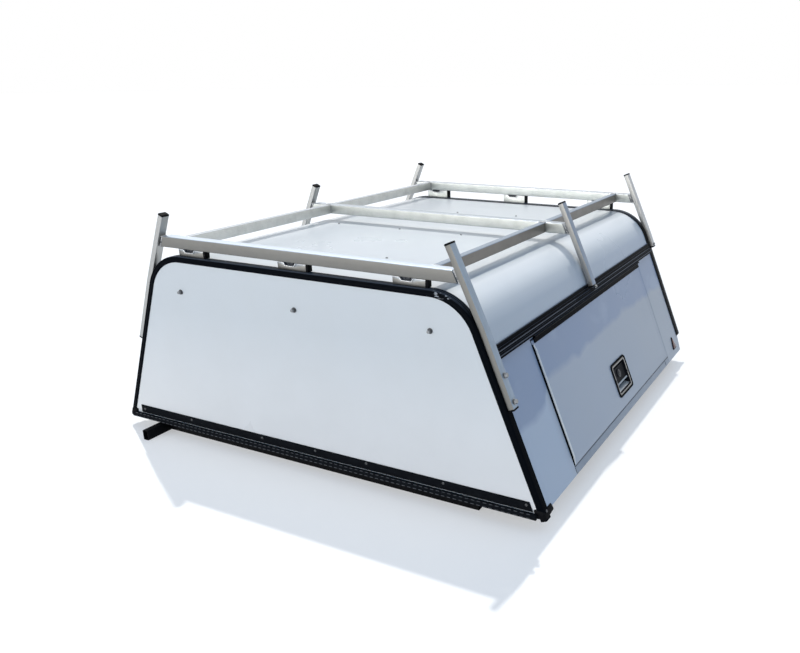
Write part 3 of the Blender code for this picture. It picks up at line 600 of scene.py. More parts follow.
def fixings(name, kind, finish, spots, body="canopy"):
    source = pointMesh(name, [point for point, _ in spots])
    sizes = dict(zip(headSizes, headKinds[kind]))
    grown(name, headMaker, source, sizes, finish, body, [facing for _, facing in spots])


def drivenScrews(name, finish, spots, body="canopy"):
    fixings(name, "panScrew", finish, spots, body)
    # painted shade: a dark insert stands for each screw's recess
    lifted = [(point + facing * recessLift, facing) for point, facing in spots]
    fixings(name + "Recess", "recess", "recess", lifted, body)


def softenedNode(node, finish, body, width=0.0012, steps=2):
    builder = bmesh.new()
    builder.from_mesh(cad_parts[node].data)
    bmesh.ops.remove_doubles(builder, verts=builder.verts, dist=1e-5)
    bmesh.ops.dissolve_limit(builder, angle_limit=radians(0.3), verts=builder.verts,
                             edges=builder.edges)
    edges = [edge for edge in builder.edges
             if edge.is_manifold and edge.calc_face_angle(0) > radians(25)]
    eased = ease(builder, edges, width, steps)
    for face in builder.faces:
        face.smooth = False
    for face in eased["faces"]:
        face.smooth = True
    keepPiece(node + "Dressed", meshFrom(builder, node + "Soft"), finish, body, (node,))


def archPath(height, inset=0.0, bottom=0.0):
    steps = cap["shoulderSteps"]
    radius = cap["shoulderRadius"] - inset
    roof = height - inset
    corner = cap["halfWidth"] - inset / cosLean - slope * roof
    centreX = corner - radius * shoulderTangent / cap["shoulderRadius"]
    points = [(cap["halfWidth"] - inset / cosLean - slope * bottom, bottom, cap["lean"])]
    for step in range(steps + 1):
        angle = cap["lean"] + (pi / 2 - cap["lean"]) * step / steps
        points.append((centreX + radius * cos(angle), roof - radius + radius * sin(angle), angle))
    return points + [(-x, z, pi - angle) for x, z, angle in reversed(points)]


def makeRoof():
    rows = []
    for y in (0.0, cap["length"]):
        outer = archPath(roofHeight(y), 0.0, cap["sideTop"] * cosLean)
        inner = archPath(roofHeight(y), cap["skin"], cap["sideTop"] * cosLean)
        rows.append([place(x, y, z) for x, z, _ in outer + inner[::-1]])
    loft("roofSkin", rows, "white", replaced=("roof_shell",), sharp=50)


trimShape = {
    "face": 0.0175,
    "side": 0.027,
    "thick": 0.0025,
    "gap": 0.0003,
    "rearWide": 0.007,
    "rearBulge": 0.009,
}


def trimProfile(side, bulge):
    gap, thick = trimShape["gap"], trimShape["thick"]
    face = trimShape["face"]
    out = gap + thick
    return [
        (gap, side), (out - 0.0008, side), (out, side - 0.001), (out, side - 0.006),
        (out - 0.001, side - 0.0068), (out - 0.001, side - 0.0086), (out, side - 0.0094),
        (out, side - 0.015), (out - 0.0009, side - 0.0157),
        (out - 0.0009, side - 0.0170), (out, side - 0.0177), (out, 0.0032), (out - 0.0003, 0.0014),
        (out - 0.0011, -0.0003 - bulge), (out - 0.0022, -0.0015 - bulge), (out - 0.0036, -0.0024 - bulge),
        (-0.0026, -out - bulge), (-0.004, -out - bulge), (-0.0052, -out + 0.0009),
        (-0.0068, -out + 0.0009), (-0.008, -out), (-face + 0.003, -out), (-face + 0.001, -out + 0.0004),
        (-face, -out + 0.0014), (-face, -gap), (gap, -gap),
    ]


def makeEdgeTrim(name, y, inwards, bottom, replaced, wide=0.0, bulge=0.0):
    side = trimShape["side"] + wide
    ends = (y, y + inwards * side)
    height = max(roofHeight(end) for end in ends)
    rows = []
    for x, z, angle in archPath(height, 0.0, bottom):
        rows.append([place(x + out * cos(angle), y + inwards * depth, z + out * sin(angle))
                     for out, depth in trimProfile(side, bulge)])
    loft(name, rows, "trim", replaced=replaced, sharp=38)


railShape = {"bottom": 0.4795, "middle": 0.4985, "top": 0.520, "front": 0.0363, "rear": 1.569}


def makeDripRail(label, side):
    low, mid, top = (railShape[key] for key in ("bottom", "middle", "top"))
    outline = [
        (0.0003, low), (0.0132, low), (0.014, low + 0.0008), (0.014, low + 0.0052), (0.0133, low + 0.0062),
        (0.0118, low + 0.0070), (0.0110, low + 0.0082), (0.0110, mid - 0.0060), (0.0102, mid - 0.0054),
        (0.0102, mid - 0.0040), (0.0110, mid - 0.0034), (0.0108, mid - 0.0008), (0.0100, mid),
        (0.0062, mid), (0.0052, mid + 0.0008), (0.0050, mid + 0.0020), (0.0050, mid + 0.0080),
        (0.0040, mid + 0.0088), (0.0040, mid + 0.0104), (0.0050, mid + 0.0112), (0.0050, top - 0.0024),
        (0.0042, top - 0.0006), (0.0030, top), (0.0003, top),
    ]
    rows = [[onSide(side, n, y, u) for n, u in outline] for y in (railShape["front"], railShape["rear"])]
    loft(f"{label}DripRail", rows, "trim", replaced=(f"{label}_drip_rail",), sharp=40)


rearShape = {"frame": 0.045, "gap": 0.004, "bottom": 0.078, "latch": 0.17, "hinge": (0.5815, 0.030),
             "hingeEnd": 0.4194, "barrel": 0.0035, "screws": 8, "firstScrew": -0.385, "screwPitch": 0.11,
             "hole": (0.0588, 0.0468), "panelDrop": 0.0034}


def rearRing(height, inset, bottom, y):
    return [place(x, y, z) for x, z, _ in archPath(height, inset, bottom)]


def makeRear():
    length, gap, bottom = cap["length"], rearShape["gap"], rearShape["bottom"]
    height = roofHeight(length)
    skin = cap["skin"] + 0.0003
    rows = []
    for y, outer, inner in ((length - cap["wall"], skin, rearShape["frame"]),
                            (length - 0.0008, skin, rearShape["frame"]),
                            (length, skin, rearShape["frame"] - 0.0008)):
        rows.append(rearRing(height, outer, bottom, y) + rearRing(height, inner, bottom, y)[::-1])
    loft("rearFrame", rows, "white", replaced=("rear_frame",), sharp=50)
    rows = []
    base = rearShape["frame"] + gap
    for y, inset in ((length - cap["wall"], base), (length - 0.0012, base), (length - 0.0004, base + 0.0004),
                     (length, base + 0.0012), (length, base + 0.026), (length - 0.0006, base + 0.0275),
                     (length - 0.0030, base + 0.0295), (length - rearShape["panelDrop"], base + 0.0310)):
        rows.append(rearRing(height, inset, bottom + gap + inset - base, y))
    across, up = rearShape["hole"]
    hole = (place(-across, length - 0.03, rearShape["latch"] - up),
            place(across, length + 0.01, rearShape["latch"] + up))
    loft("rearDoor", rows, "white", replaced=("rear_door",), sharp=50, hole=hole)

    def latchSpot(n, a, b):
        return place(-a, length - rearShape["panelDrop"] + n, rearShape["latch"] + b)
    makeLatch("rear", latchSpot, "canopy", "canopy", ("rear_latch",))
    top, drop = rearShape["hinge"]
    barrel, end = rearShape["barrel"], rearShape["hingeEnd"]
    outline = [(0.0003, top - drop), (0.0024, top - drop), (0.0030, top - drop + 0.0006),
               (0.0030, top - 0.0085)]
    for step in range(9):
        angle = radians(-100 + 25 * step)
        outline.append((0.0030 + barrel * cos(angle), top - 0.0045 + barrel * sin(angle)))
    outline += [(0.0003, top - 0.0010)]
    bar("rearHinge", lambda n, along, b: place(along, length + n, b), outline, -end, end, "trim",
        replaced=("rear_hinge",))
    spots = []
    for index in range(rearShape["screws"]):
        x = rearShape["firstScrew"] + rearShape["screwPitch"] * index
        spots.append((place(x, length + 0.0030, top - 0.021), Vector((0, 1, 0))))
    drivenScrews("rearHingeScrews", "screw", spots)


def makeBody():
    makeRoof()
    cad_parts["front_wall"].data.materials.clear()
    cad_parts["front_wall"].data.materials.append(materials["white"])
    makeEdgeTrim("frontEdgeTrim", 0.0, 1.0, 0.0, ("front_edge_trim",))
    makeEdgeTrim("rearEdgeTrim", cap["length"], -1.0, rearShape["bottom"], ("rear_edge_trim",),
                 trimShape["rearWide"], trimShape["rearBulge"])
    for label, side in (("right", 1), ("left", -1)):
        makeDripRail(label, side)
        for part in ("front_panel", "rear_panel", "door_header", "door_sill"):
            # the door sills take the darker sill tone, painted shade
            softenedNode(f"{label}_{part}", "sill" if part == "door_sill" else "side", "canopy", 0.0009)
        softenedNode(f"{label}_base_rail", "alongY", "canopy")
        body = "right_door" if side > 0 else "canopy"
        softenedNode(f"{label}_door", "side", body, 0.0015, 3)
        softenedNode(f"{label}_hinge_leaf", "trim", body, 0.0007)
        makeDoorway(label, side)
        makeReflector(label, side)
    softenedNode("front_seal_strip", "rubber", "canopy", 0.0008)
    makeFrontSeal()
    makeTrimEnds()
    makeFixings()
    makeRear()
    softenedNode("rear_sill", "white", "canopy", 0.0009)
    for number in (1, 2, 3):
        softenedNode(f"roof_bow_{number}", "alongX", "canopy", 0.0009)
    print("body made")


rackShape = {
    "wall": 0.003,
    "corners": (0.0022, 0.0011),
    "endGap": 0.0122,
    "capGaps": (0.0170, 0.0012),
    "capPlay": 0.001,
    "railTall": 0.036,
    "railGap": 0.0035,
    "thick": 0.019,
    "deep": 0.030,
    "leanIn": radians(2.2),
    "plug": 0.0062,
    "bend": 0.03,
    # place along the canopy, drop below the shoulder, stand-off from the skin, top above the rack
    "uprights": {"front": (0.006, 0.240, 0.0032, 0.0705), "middle": (0.801, 0.0605, 0.0053, 0.0705),
                 "rear": (1.6031, 0.0596, -0.006, 0.083)},
    "rise": (0.062, 0.071),
}


def rackTop(y):
    first, last = rackShape["rise"]
    return roofHeight(y) + first + (last - first) * y / cap["length"]


def makeCrossbar(label):
    node = f"rack_{label}_crossbar"
    low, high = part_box(node)
    size = high - low
    tilt = tan(cap["lean"] + rackShape["leanIn"])

    def spot(side, a, b, gap=rackShape["endGap"]):
        z = (low.z + high.z) / 2 + b
        reach = high.x - (z - low.z) * tilt - gap
        return Vector((copysign(1, side) * reach, (low.y + high.y) / 2 + a, z))
    wall, play = rackShape["wall"], rackShape["capPlay"]
    # each crossbar takes its own lit or shaded copy of the aluminium, painted reflection
    finish = {"front": "frontX", "middle": "middleX", "rear": "paleX"}[label]
    tube(f"{label}Crossbar", spot, (size.y, size.z), wall, rackShape["corners"], (-1, 1), finish, node)
    inside = rounded(size.y - 2 * wall - play, size.z - 2 * wall - play, play, 2)
    for hand, side in (("Right", 1), ("Left", -1)):
        rows = [[spot(side, a, b, gap) for a, b in inside] for gap in rackShape["capGaps"]]
        loft(f"{label}CrossbarEnd{hand}", rows, "alongX")


def makeRail(hand, label):
    node = f"rack_{hand}_{label}_rail"
    low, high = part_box(node)
    rise, height = rackShape["rise"], rackShape["railTall"]
    fall = (roofHeight(1.0) - roofHeight(0.0)) + (rise[1] - rise[0]) / cap["length"]

    def spot(y, a, b):
        z = high.z + (y - low.y) * fall - height / 2 + b
        return Vector(((low.x + high.x) / 2 + a, y, z))
    ends = (low.y + rackShape["railGap"], high.y - rackShape["railGap"])
    # the left rails take the paler copy, a painted reflection of the lit roof
    tube(f"{hand}{label.title()}Rail", spot, (high.x - low.x, height), rackShape["wall"],
         rackShape["corners"], ends, "alongY" if hand == "right" else "paleY", node)


def makeUpright(hand, side, label):
    y, drop, off, head = rackShape["uprights"][label]
    shoulder = roofHeight(min(y, cap["length"])) / cosLean - shoulderTangent
    feet = []
    for u in (shoulder - drop, shoulder):
        feet.append(Vector((cap["halfWidth"] + off * cosLean - u * sinLean, off * sinLean + u * cosLean)))
    rise = rackTop(y) + head - feet[1].y
    feet.append(Vector((feet[1].x - rise * tan(cap["lean"] + rackShape["leanIn"]), feet[1].y + rise)))
    plug, thick, deep = rackShape["plug"], rackShape["thick"], rackShape["deep"]
    lower = (feet[1] - feet[0]).normalized()
    upper = (feet[2] - feet[1]).normalized()

    def section(point, along, grow, corner):
        out = Vector((along.y, -along.x))
        ring = []
        for a, b in rounded(thick + 2 * grow, deep + 2 * grow, corner, 4):
            spot = point + out * (thick / 2 + a)
            ring.append(place(side * spot.x, y + deep / 2 + b, spot.y))
        return ring
    rows = [section(feet[0] + lower * plug, lower, 0, 0.0014)]
    for share in (-1.0, -0.5, 0.0, 0.5, 1.0):
        along = lower.lerp(upper, (share + 1) / 2).normalized()
        bend = (upper if share > 0 else lower) * share * rackShape["bend"]
        rows.append(section(feet[1] + bend, along, 0, 0.0014))
    rows.append(section(feet[2] - upper * plug, upper, 0, 0.0014))
    # the left and rear uprights take the paler copy, the front ones the darker, painted reflection and shade
    finish = "paleZ" if side < 0 or label == "rear" else "frontZ" if label == "front" else "alongZ"
    loft(f"{hand}{label.title()}Upright", rows, finish, replaced=(f"rack_{hand}_{label}_upright",),
         sharp=24)
    for end, along, word in ((feet[0], -lower, "Foot"), (feet[2], upper, "Head")):
        turn = upper if word == "Head" else lower
        rows = [section(end - along * start, turn, grow, 0.0018)
                for start, grow in ((plug, -0.002), (plug, 0.0004), (0.0016, 0.0004), (0.0006, -0.0006),
                                    (0.0002, -0.0030))]
        loft(f"{hand}{label.title()}{word}Plug", rows, "plug")


footShape = {"top": 0.0225, "low": 0.0165, "depth": 0.0092, "rim": 0.0022, "plug": 0.0078, "shift": -0.008,
             "lip": 0.0018, "block": 0.009, "ease": 0.0007}


def rectangle(left, right, floor, top):
    return [(left, floor), (right, floor), (right, top), (left, top)]


def makeFoot(label, hand):
    node = f"rack_{label}_{hand}_foot"
    low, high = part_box(node)
    middle = (low.x + high.x) / 2 + footShape["shift"]
    deep = high.y - low.y
    floor, top = low.z, high.z
    notchLow = top - min(footShape["depth"], (top - floor) * 0.5)
    wide, narrow, rim = footShape["top"], footShape["low"], footShape["rim"]
    # the front feet take the darker copy, the rear feet the paler, painted shade and reflection
    face = "frontX" if label == "front" else "paleX"

    def slab(name, shape, start, end, finish, taken=()):
        builder = bmesh.new()
        first = builder.faces.new([builder.verts.new((x, start, z)) for x, z in shape])
        drawn = bmesh.ops.extrude_face_region(builder, geom=[first])
        moved = [item for item in drawn["geom"] if isinstance(item, bmesh.types.BMVert)]
        bmesh.ops.translate(builder, vec=(0, end - start, 0), verts=moved)
        ease(builder, builder.edges[:], footShape["ease"], 2)
        keepPiece(f"{label}{hand.title()}{name}", closeMesh(builder, name, 30), finish, "canopy", taken)
    notch = [(middle + narrow, notchLow), (middle - narrow, notchLow)]
    outline = [(low.x, floor), (high.x, floor), (high.x, top), (middle + wide, top), *notch,
               (middle - wide, top), (low.x, top)]
    slab("FootFace", outline, low.y + 0.0006, low.y + 0.004, face, (node,))
    # painted highlight: bright strips along the notch's edges and the feet's top edges
    edge = [(middle + wide + rim, top), (middle + narrow + rim * 0.7, notchLow - rim),
            (middle - narrow - rim * 0.7, notchLow - rim), (middle - wide - rim, top), (middle - wide, top),
            *notch[::-1], (middle + wide, top)]
    slab("FootRim", edge, low.y - 0.0016, low.y + 0.0045, "rim")
    for word, start, end in (("Right", middle + wide + rim, high.x), ("Left", low.x, middle - wide - rim)):
        lip = rectangle(start, end, top - footShape["lip"], top)
        slab(f"FootLip{word}", lip, low.y - 0.0008, low.y + 0.003, "rim")
    # behind the face, each a little inside the solid; the back is painted shade, a dark plate for the inside
    # of the tube seen through the notch
    back = rectangle(low.x + 0.001, high.x - 0.001, floor + 0.0005, top - 0.0005)
    slab("FootBack", back, low.y + 0.0095, high.y, "notch")
    core = rectangle(low.x + 0.002, high.x - 0.002, floor + 0.001, notchLow - 0.0005)
    slab("FootCore", core, low.y + 0.0035, low.y + 0.010, face)
    cover = rectangle(high.x - 0.001, high.x + footShape["plug"], floor, top)
    slab("FootPlug", cover, low.y - 0.0003, low.y + deep + 0.0003, "plug")
    # painted shade: a near-black block deep in the notch
    half = footShape["block"]
    block = rectangle(middle - half, middle + half, notchLow + 0.0015, top - 0.001)
    slab("FootBlock", block, low.y + 0.006, low.y + 0.0105, "lock")


def weldRun(points, lines, corners):
    for start, end in zip(corners, corners[1:]):
        points += [start, end]
        lines.append((len(points) - 2, len(points) - 1))


def makeWelds():
    points, lines = [], []
    tilt = tan(cap["lean"] + rackShape["leanIn"])
    for label in ("front", "middle", "rear"):
        low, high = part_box(f"rack_{label}_crossbar")
        for side in (1, -1):
            reach = high.x - 0.0016
            deep = low.y + 0.022
            inner = reach - (high.z - low.z) * tilt
            for x, z in ((reach, low.z + 0.001), (inner, high.z - 0.001)):
                weldRun(points, lines, [Vector((side * x, low.y + 0.003, z)), Vector((side * x, deep, z))])
            for first, last in ((0.55, 0.97), (0.02, 0.25)):
                rise = [(share, high.x - 0.0065 - share * (high.z - low.z) * tilt) for share in (first, last)]
                weldRun(points, lines, [Vector((side * x, low.y + 0.0035, low.z + share * (high.z - low.z)))
                                        for share, x in rise])
    for hand in ("right", "left"):
        for label in ("front", "middle"):
            low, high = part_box(f"rack_{hand}_{label}_rail")
            for y, lift in ((low.y, high.z), (high.y, high.z - 0.0037)):
                weldRun(points, lines, [Vector((low.x + 0.003, y, lift - 0.0015)),
                                        Vector((high.x - 0.003, y, lift - 0.0015))])
                inner = low.x if low.x > 0 else high.x
                weldRun(points, lines, [Vector((inner, y, lift - 0.006)), Vector((inner, y, lift - 0.032))])
    grown("rackWelds", beadMaker, pointMesh("rackWelds", points, lines),
          {"Spacing": 0.0032, "Radius": 0.0030, "Seed": 7}, "weld")


def makeRack():
    for label in ("front", "middle", "rear"):
        makeCrossbar(label)
        for hand, side in (("right", 1), ("left", -1)):
            makeUpright(hand, side, label)
            if label != "rear":
                makeRail(hand, label)
    for label in ("front", "rear"):
        for hand in ("right", "middle", "left"):
            makeFoot(label, hand)
    makeWelds()
    print("rack made")


latchPlace = {"y": 0.838, "u": 0.149, "paddle": 0.011, "lock": (-0.008, 0.0146)}
# layers are (width, height, corner radius, height above the skin), outlines (height, place up the slope)
latchShape = {
    "LatchGasket": ((0.153, 0.128, 0.015, 0.0003), (0.153, 0.128, 0.015, 0.0030),
                    (0.151, 0.126, 0.014, 0.0044), (0.1400, 0.1160, 0.010, 0.0044),
                    (0.1375, 0.1135, 0.010, 0.0030), (0.1375, 0.1135, 0.010, 0.0003)),
    "LatchFlange": ((0.1373, 0.1133, 0.010, 0.0004), (0.1373, 0.1133, 0.010, 0.0026),
                    (0.1340, 0.1100, 0.009, 0.0031), (0.1300, 0.1060, 0.0085, 0.0029),
                    (0.1300, 0.1060, 0.0085, 0.0004)),
    "LatchBead": ((0.1298, 0.1058, 0.0085, 0.0005), (0.1298, 0.1058, 0.0085, 0.0030),
                  (0.1285, 0.1045, 0.008, 0.0034), (0.1262, 0.1022, 0.0078, 0.0033),
                  (0.1250, 0.1010, 0.007, 0.0026), (0.1250, 0.1010, 0.007, 0.0005)),
    "LatchTray": ((0.1172, 0.0932, 0.006, -0.0250), (0.1172, 0.0932, 0.006, 0.0005),
                  (0.1248, 0.1008, 0.007, 0.0005), (0.1248, 0.1008, 0.007, 0.0022),
                  (0.1195, 0.0955, 0.006, -0.0004), (0.1150, 0.0910, 0.006, -0.0026),
                  (0.1130, 0.0890, 0.0055, -0.0044), (0.1120, 0.0880, 0.005, -0.0200),
                  (0.1115, 0.0875, 0.004, -0.0230)),
    "LatchPaddle": ((0.102, 0.059, 0.003, -0.0052), (0.104, 0.061, 0.004, -0.0044),
                    (0.104, 0.061, 0.004, -0.0036), (0.1025, 0.0595, 0.0035, -0.0030),
                    (0.0980, 0.0550, 0.003, -0.0030), (0.0950, 0.0520, 0.003, -0.0043),
                    (0.0940, 0.0510, 0.003, -0.0044)),
    "LatchLock": ((0.0300, 0.0300, 0.0150, -0.0050), (0.0300, 0.0300, 0.0150, -0.0018),
                  (0.0286, 0.0286, 0.0143, -0.0008), (0.0250, 0.0250, 0.0125, -0.0006),
                  (0.0230, 0.0230, 0.0115, -0.0016), (0.0170, 0.0170, 0.0085, -0.0016),
                  (0.0164, 0.0164, 0.0082, 0.0000), (0.0150, 0.0150, 0.0075, 0.0006)),
    "Keyhole": ((0.0018, 0.0090, 0.0008, -0.0008), (0.0018, 0.0090, 0.0008, 0.0008)),
    "ramp": ((-0.0010, -0.0445), (-0.0012, -0.0438), (-0.0190, -0.0330), (-0.0205, -0.0335),
             (-0.0205, -0.0440)),
    "lip": ((-0.0090, -0.0205), (-0.0040, -0.0209), (-0.0012, -0.0205), (-0.0004, -0.0191),
            (-0.0008, -0.0161), (-0.0020, -0.0147), (-0.0036, -0.0145), (-0.0050, -0.0165),
            (-0.0090, -0.0179)),
    "rampReach": 0.0555,
    "lipReach": 0.0515,
    "screw": (0.0028, 0.0665),
}


def makeLatch(label, spot, body, paddleBody, replaced):
    def layered(word, finish, rider, taken=(), middle=(0.0, 0.0), loop=False, steps=5):
        stacked(label + word, spot, latchShape[word], finish, rider, taken, middle, loop, steps)

    def strip(word, reach, finish, rider):
        bar(f"{label}Latch{word.title()}", spot, latchShape[word], -reach, reach, finish, rider)
    lock = latchPlace["lock"]
    layered("LatchGasket", "rubber", body, loop=True)
    # the flange takes the darker copy of the stainless, painted shade
    layered("LatchFlange", "flange", body, replaced[:1], loop=True)
    layered("LatchBead", "stainless", body, loop=True)
    layered("LatchTray", "latch", body)
    # the ramp takes the brighter aluminium, a painted highlight
    strip("ramp", latchShape["rampReach"], "rim", body)
    layered("LatchPaddle", "latch", paddleBody, replaced[1:], (0.0, latchPlace["paddle"] - 0.0015))
    # the paddle's lip carries a painted sky reflection
    strip("lip", latchShape["lipReach"], "lip", paddleBody)
    layered("LatchLock", "lock", paddleBody, (), lock)
    # painted shade: the keyhole is a dark insert on the lock
    layered("Keyhole", "recess", paddleBody, (), lock, steps=2)
    lift, reach = latchShape["screw"]
    corners = [(spot(lift, a, 0.0), spot(1.0, a, 0.0) - spot(0.0, a, 0.0)) for a in (reach, -reach)]
    drivenScrews(f"{label}LatchScrews", "screw", corners, body)


doorEdge = {
    "gasket": ((-0.0008, -0.0150), (-0.0008, 0.0046), (0.0036, 0.0046), (0.0036, -0.0150)),
    "lip": ((-0.0012, 0.0047), (-0.0012, 0.0084), (-0.0005, 0.0094), (0.0008, 0.0098), (0.0022, 0.0091),
            (0.0058, 0.0016), (0.0072, 0.0003), (0.0072, -0.0030), (0.0038, -0.0030), (0.0038, 0.0047)),
    "top": 0.438,
    "ticks": (0.2655, 1.322),
    "tickEnds": (0.024, 0.043),
}
doorPlace = {"front": 0.271, "rear": 1.371, "bottom": 0.0485, "top": 0.467, "gap": 0.005, "hem": 0.030}


def makeDoorway(label, side):
    body = "right_door" if side > 0 else "canopy"
    front, rear, low, top = (doorPlace[key] for key in ("front", "rear", "bottom", "top"))
    gap, hem = doorPlace["gap"], doorPlace["hem"]

    def spot(n, y, u):
        return onSide(side, n, y, u)
    middle = ((front + rear) / 2, (low + top) / 2)
    wide, high = rear - front, top - low
    layers = []
    for grow, n in ((gap - 0.0003, -0.019), (gap - 0.0003, -0.0016), (gap - 0.0008, -0.0008),
                    (0.0028, -0.0008), (0.0022, -0.0018), (0.0022, -0.019)):
        layers.append((wide + 2 * grow, high + 2 * grow, 0.002, n))
    stacked(f"{label}DoorSeal", spot, layers, "rubber", "canopy", (), middle, True, 2)
    # painted shade: a dark filler closes the gap under the door
    filler = [(-0.019, low - gap + 0.0003), (-0.0003, low - gap + 0.0003), (-0.0003, low - 0.0022),
              (-0.019, low - 0.0022)]
    bar(f"{label}SillFiller", spot, filler, front, rear, "sillGapShade")
    fold = ((-0.0004, -0.0150), (-0.0004, 0.0006), (0.0002, 0.0013), (0.0012, 0.0014), (0.0024, 0.0011),
            (hem * 0.28, 0.0007), (hem * 0.55, 0.0004), (hem, 0.0001), (hem, -0.0150))
    under = top - 0.0128
    rows = []
    for y, u, inY, inU in ((front, under, 1, 0), (front, low, 1, 1), (rear, low, -1, 1),
                           (rear, under, -1, 0)):
        rows.append([spot(n, y + inY * inset, u + inU * inset) for inset, n in fold])
    loft(f"{label}DoorHem", rows, "side", body, sharp=32)
    # the lip takes the paler white, a painted highlight on the door's front edge
    for word, profile, finish in (("Gasket", doorEdge["gasket"], "rubber"),
                                  ("Lip", doorEdge["lip"], "lipHighlightWhite")):
        rows = []
        for u, share in ((low + 0.0010, 0.3), (low + 0.03, 1.0), (doorEdge["top"], 1.0), (under, 0.6)):
            rows.append([spot(n * share if n > 0 else n, front + inset, u) for inset, n in profile])
        loft(f"{label}DoorEdge{word}", rows, finish, body, sharp=32)
    # painted shade: thin dark strips stand for the grooves below the door's lower corners
    for y in doorEdge["ticks"]:
        tick = [(y - 0.0013, 0.0002), (y + 0.0013, 0.0002), (y + 0.0009, 0.0006), (y - 0.0009, 0.0006)]
        rows = [[spot(n, across, u) for across, n in tick] for u in doorEdge["tickEnds"]]
        loft(f"{label}SillTick{'Front' if y < front else 'Rear'}", rows, "recess")

    def latchSpot(n, a, b):
        return onSide(side, n, latchPlace["y"] + a, latchPlace["u"] + b)
    makeLatch(label, latchSpot, body, "right_latch_paddle" if side > 0 else "canopy",
              (f"{label}_latch_housing", f"{label}_latch_paddle"))


reflector = {"corners": ((1.487, 0.1065), (1.521, 0.0466), (1.466, 0.0445)), "base": 0.0030, "lens": 0.0048,
             "rim": 0.78, "blunt": 0.12}


def makeReflector(label, side):
    corners, blunt = reflector["corners"], reflector["blunt"]
    centre = [sum(corner[i] for corner in corners) / 3 for i in (0, 1)]

    def triangle(scale, n):
        ring = []
        for index, (y, u) in enumerate(corners):
            before, after = corners[index - 1], corners[(index + 1) % 3]
            for other in (before, after):
                near = (y + (other[0] - y) * blunt, u + (other[1] - u) * blunt)
                ring.append(onSide(side, n, centre[0] + (near[0] - centre[0]) * scale,
                                   centre[1] + (near[1] - centre[1]) * scale))
        return ring
    base, lens, rim = reflector["base"], reflector["lens"], reflector["rim"]
    rows = [triangle(1.0, 0.0002), triangle(1.0, base - 0.0008), triangle(0.95, base)]
    loft(f"{label}ReflectorBase", rows, "plug")
    rows = [triangle(rim, base - 0.0005), triangle(rim, lens - 0.0008), triangle(rim * 0.9, lens)]
    loft(f"{label}ReflectorLens", rows, "lens")


frontFixings = {
    "bolts": ((-0.490, 0.517), (-0.006, 0.517), (0.483, 0.519)),
    "strip": ((-0.768, 0.035), (-0.529, 0.039), (-0.199, 0.039), (0.028, 0.041), (0.231, 0.042),
              (0.513, 0.041), (0.787, 0.039)),
    "roof": ((0.143, 0.299), (-0.398, 0.757), (-0.110, 0.764), (0.164, 0.764), (-0.374, 1.182),
             (-0.103, 1.217), (0.167, 1.247)),
    # place along the canopy, lift off the skin, height
    "uprightBolts": ((0.816, 0.0245, 0.474), (1.6181, 0.0131, 0.474)),
    "frontPostBolts": ((0.023, 0.0223, 0.414), (0.023, 0.0223, 0.341)),
}
forward = Vector((0, -1, 0))


def makeFixings():
    spots = [(place(x, -0.0009, z), forward) for x, z in frontFixings["bolts"]]
    fixings("frontWallWashers", "washer", "screw", spots)
    fixings("frontWallBolts", "hexBolt", "bolt", spots)
    drivenScrews("stripScrews", "screw", [(place(x, -0.0036, z), forward) for x, z in frontFixings["strip"]])
    upwards = Vector((0, (cap["roofFront"] - cap["roofRear"]) / cap["length"], 1)).normalized()
    drivenScrews("roofScrews", "bolt", [(place(x, y, roofHeight(y) + 0.0003), upwards)
                                        for x, y in frontFixings["roof"]])
    for name, kind in (("uprightBolts", "smallBolt"), ("frontPostBolts", "postBolt")):
        fixings(name, kind, "bolt", [(onSide(side, n, y, (z - n * sinLean) / cosLean),
                                      Vector((side * cosLean, 0, sinLean)))
                                     for side in (1, -1) for y, n, z in frontFixings[name]])
    print("fixings made")


sealShape = {"pitch": 0.020, "length": 0.011, "bulb": 0.0095, "sides": 28, "ribEvery": 7, "ribDepth": 0.055,
             "start": 0.02, "padAngles": (128, 196), "padThick": (0.0014, 0.0022)}


def makeFrontSeal():
    low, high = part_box("front_bulb_seal")
    radius = sealShape["bulb"]
    centreY, centreZ = (low.y + high.y) / 2, (low.z + high.z) / 2
    rows = []
    for x in (low.x, high.x):
        ring = []
        for step in range(sealShape["sides"]):
            angle = 2 * pi * step / sealShape["sides"]
            deep = radius * (1 - sealShape["ribDepth"] * (step % sealShape["ribEvery"] == 0))
            ring.append(Vector((x, centreY + deep * cos(angle), centreZ + deep * sin(angle))))
        rows.append(ring)
    loft("frontBulb", rows, "rubber", replaced=("front_bulb_seal",), sharp=60)
    points = []
    count = int((high.x - low.x - sealShape["start"]) / sealShape["pitch"])
    for index in range(count):
        x = low.x + sealShape["start"] + index * sealShape["pitch"]
        for turn in (radians(angle) for angle in sealShape["padAngles"]):
            points.append((x, centreY + radius * cos(turn), centreZ + radius * sin(turn)))
    grown("frontBulbPads", padMaker, pointMesh("frontBulbPads", points),
          {"Size": (sealShape["length"], *sealShape["padThick"])}, "rubberPale")


trimEnd = {"wide": 0.034, "front": -0.0052, "rear": 0.058, "tail": 0.011, "low": 0.0006, "high": 0.030,
           "edge": 0.0085, "screw": (0.0150, 0.0250)}


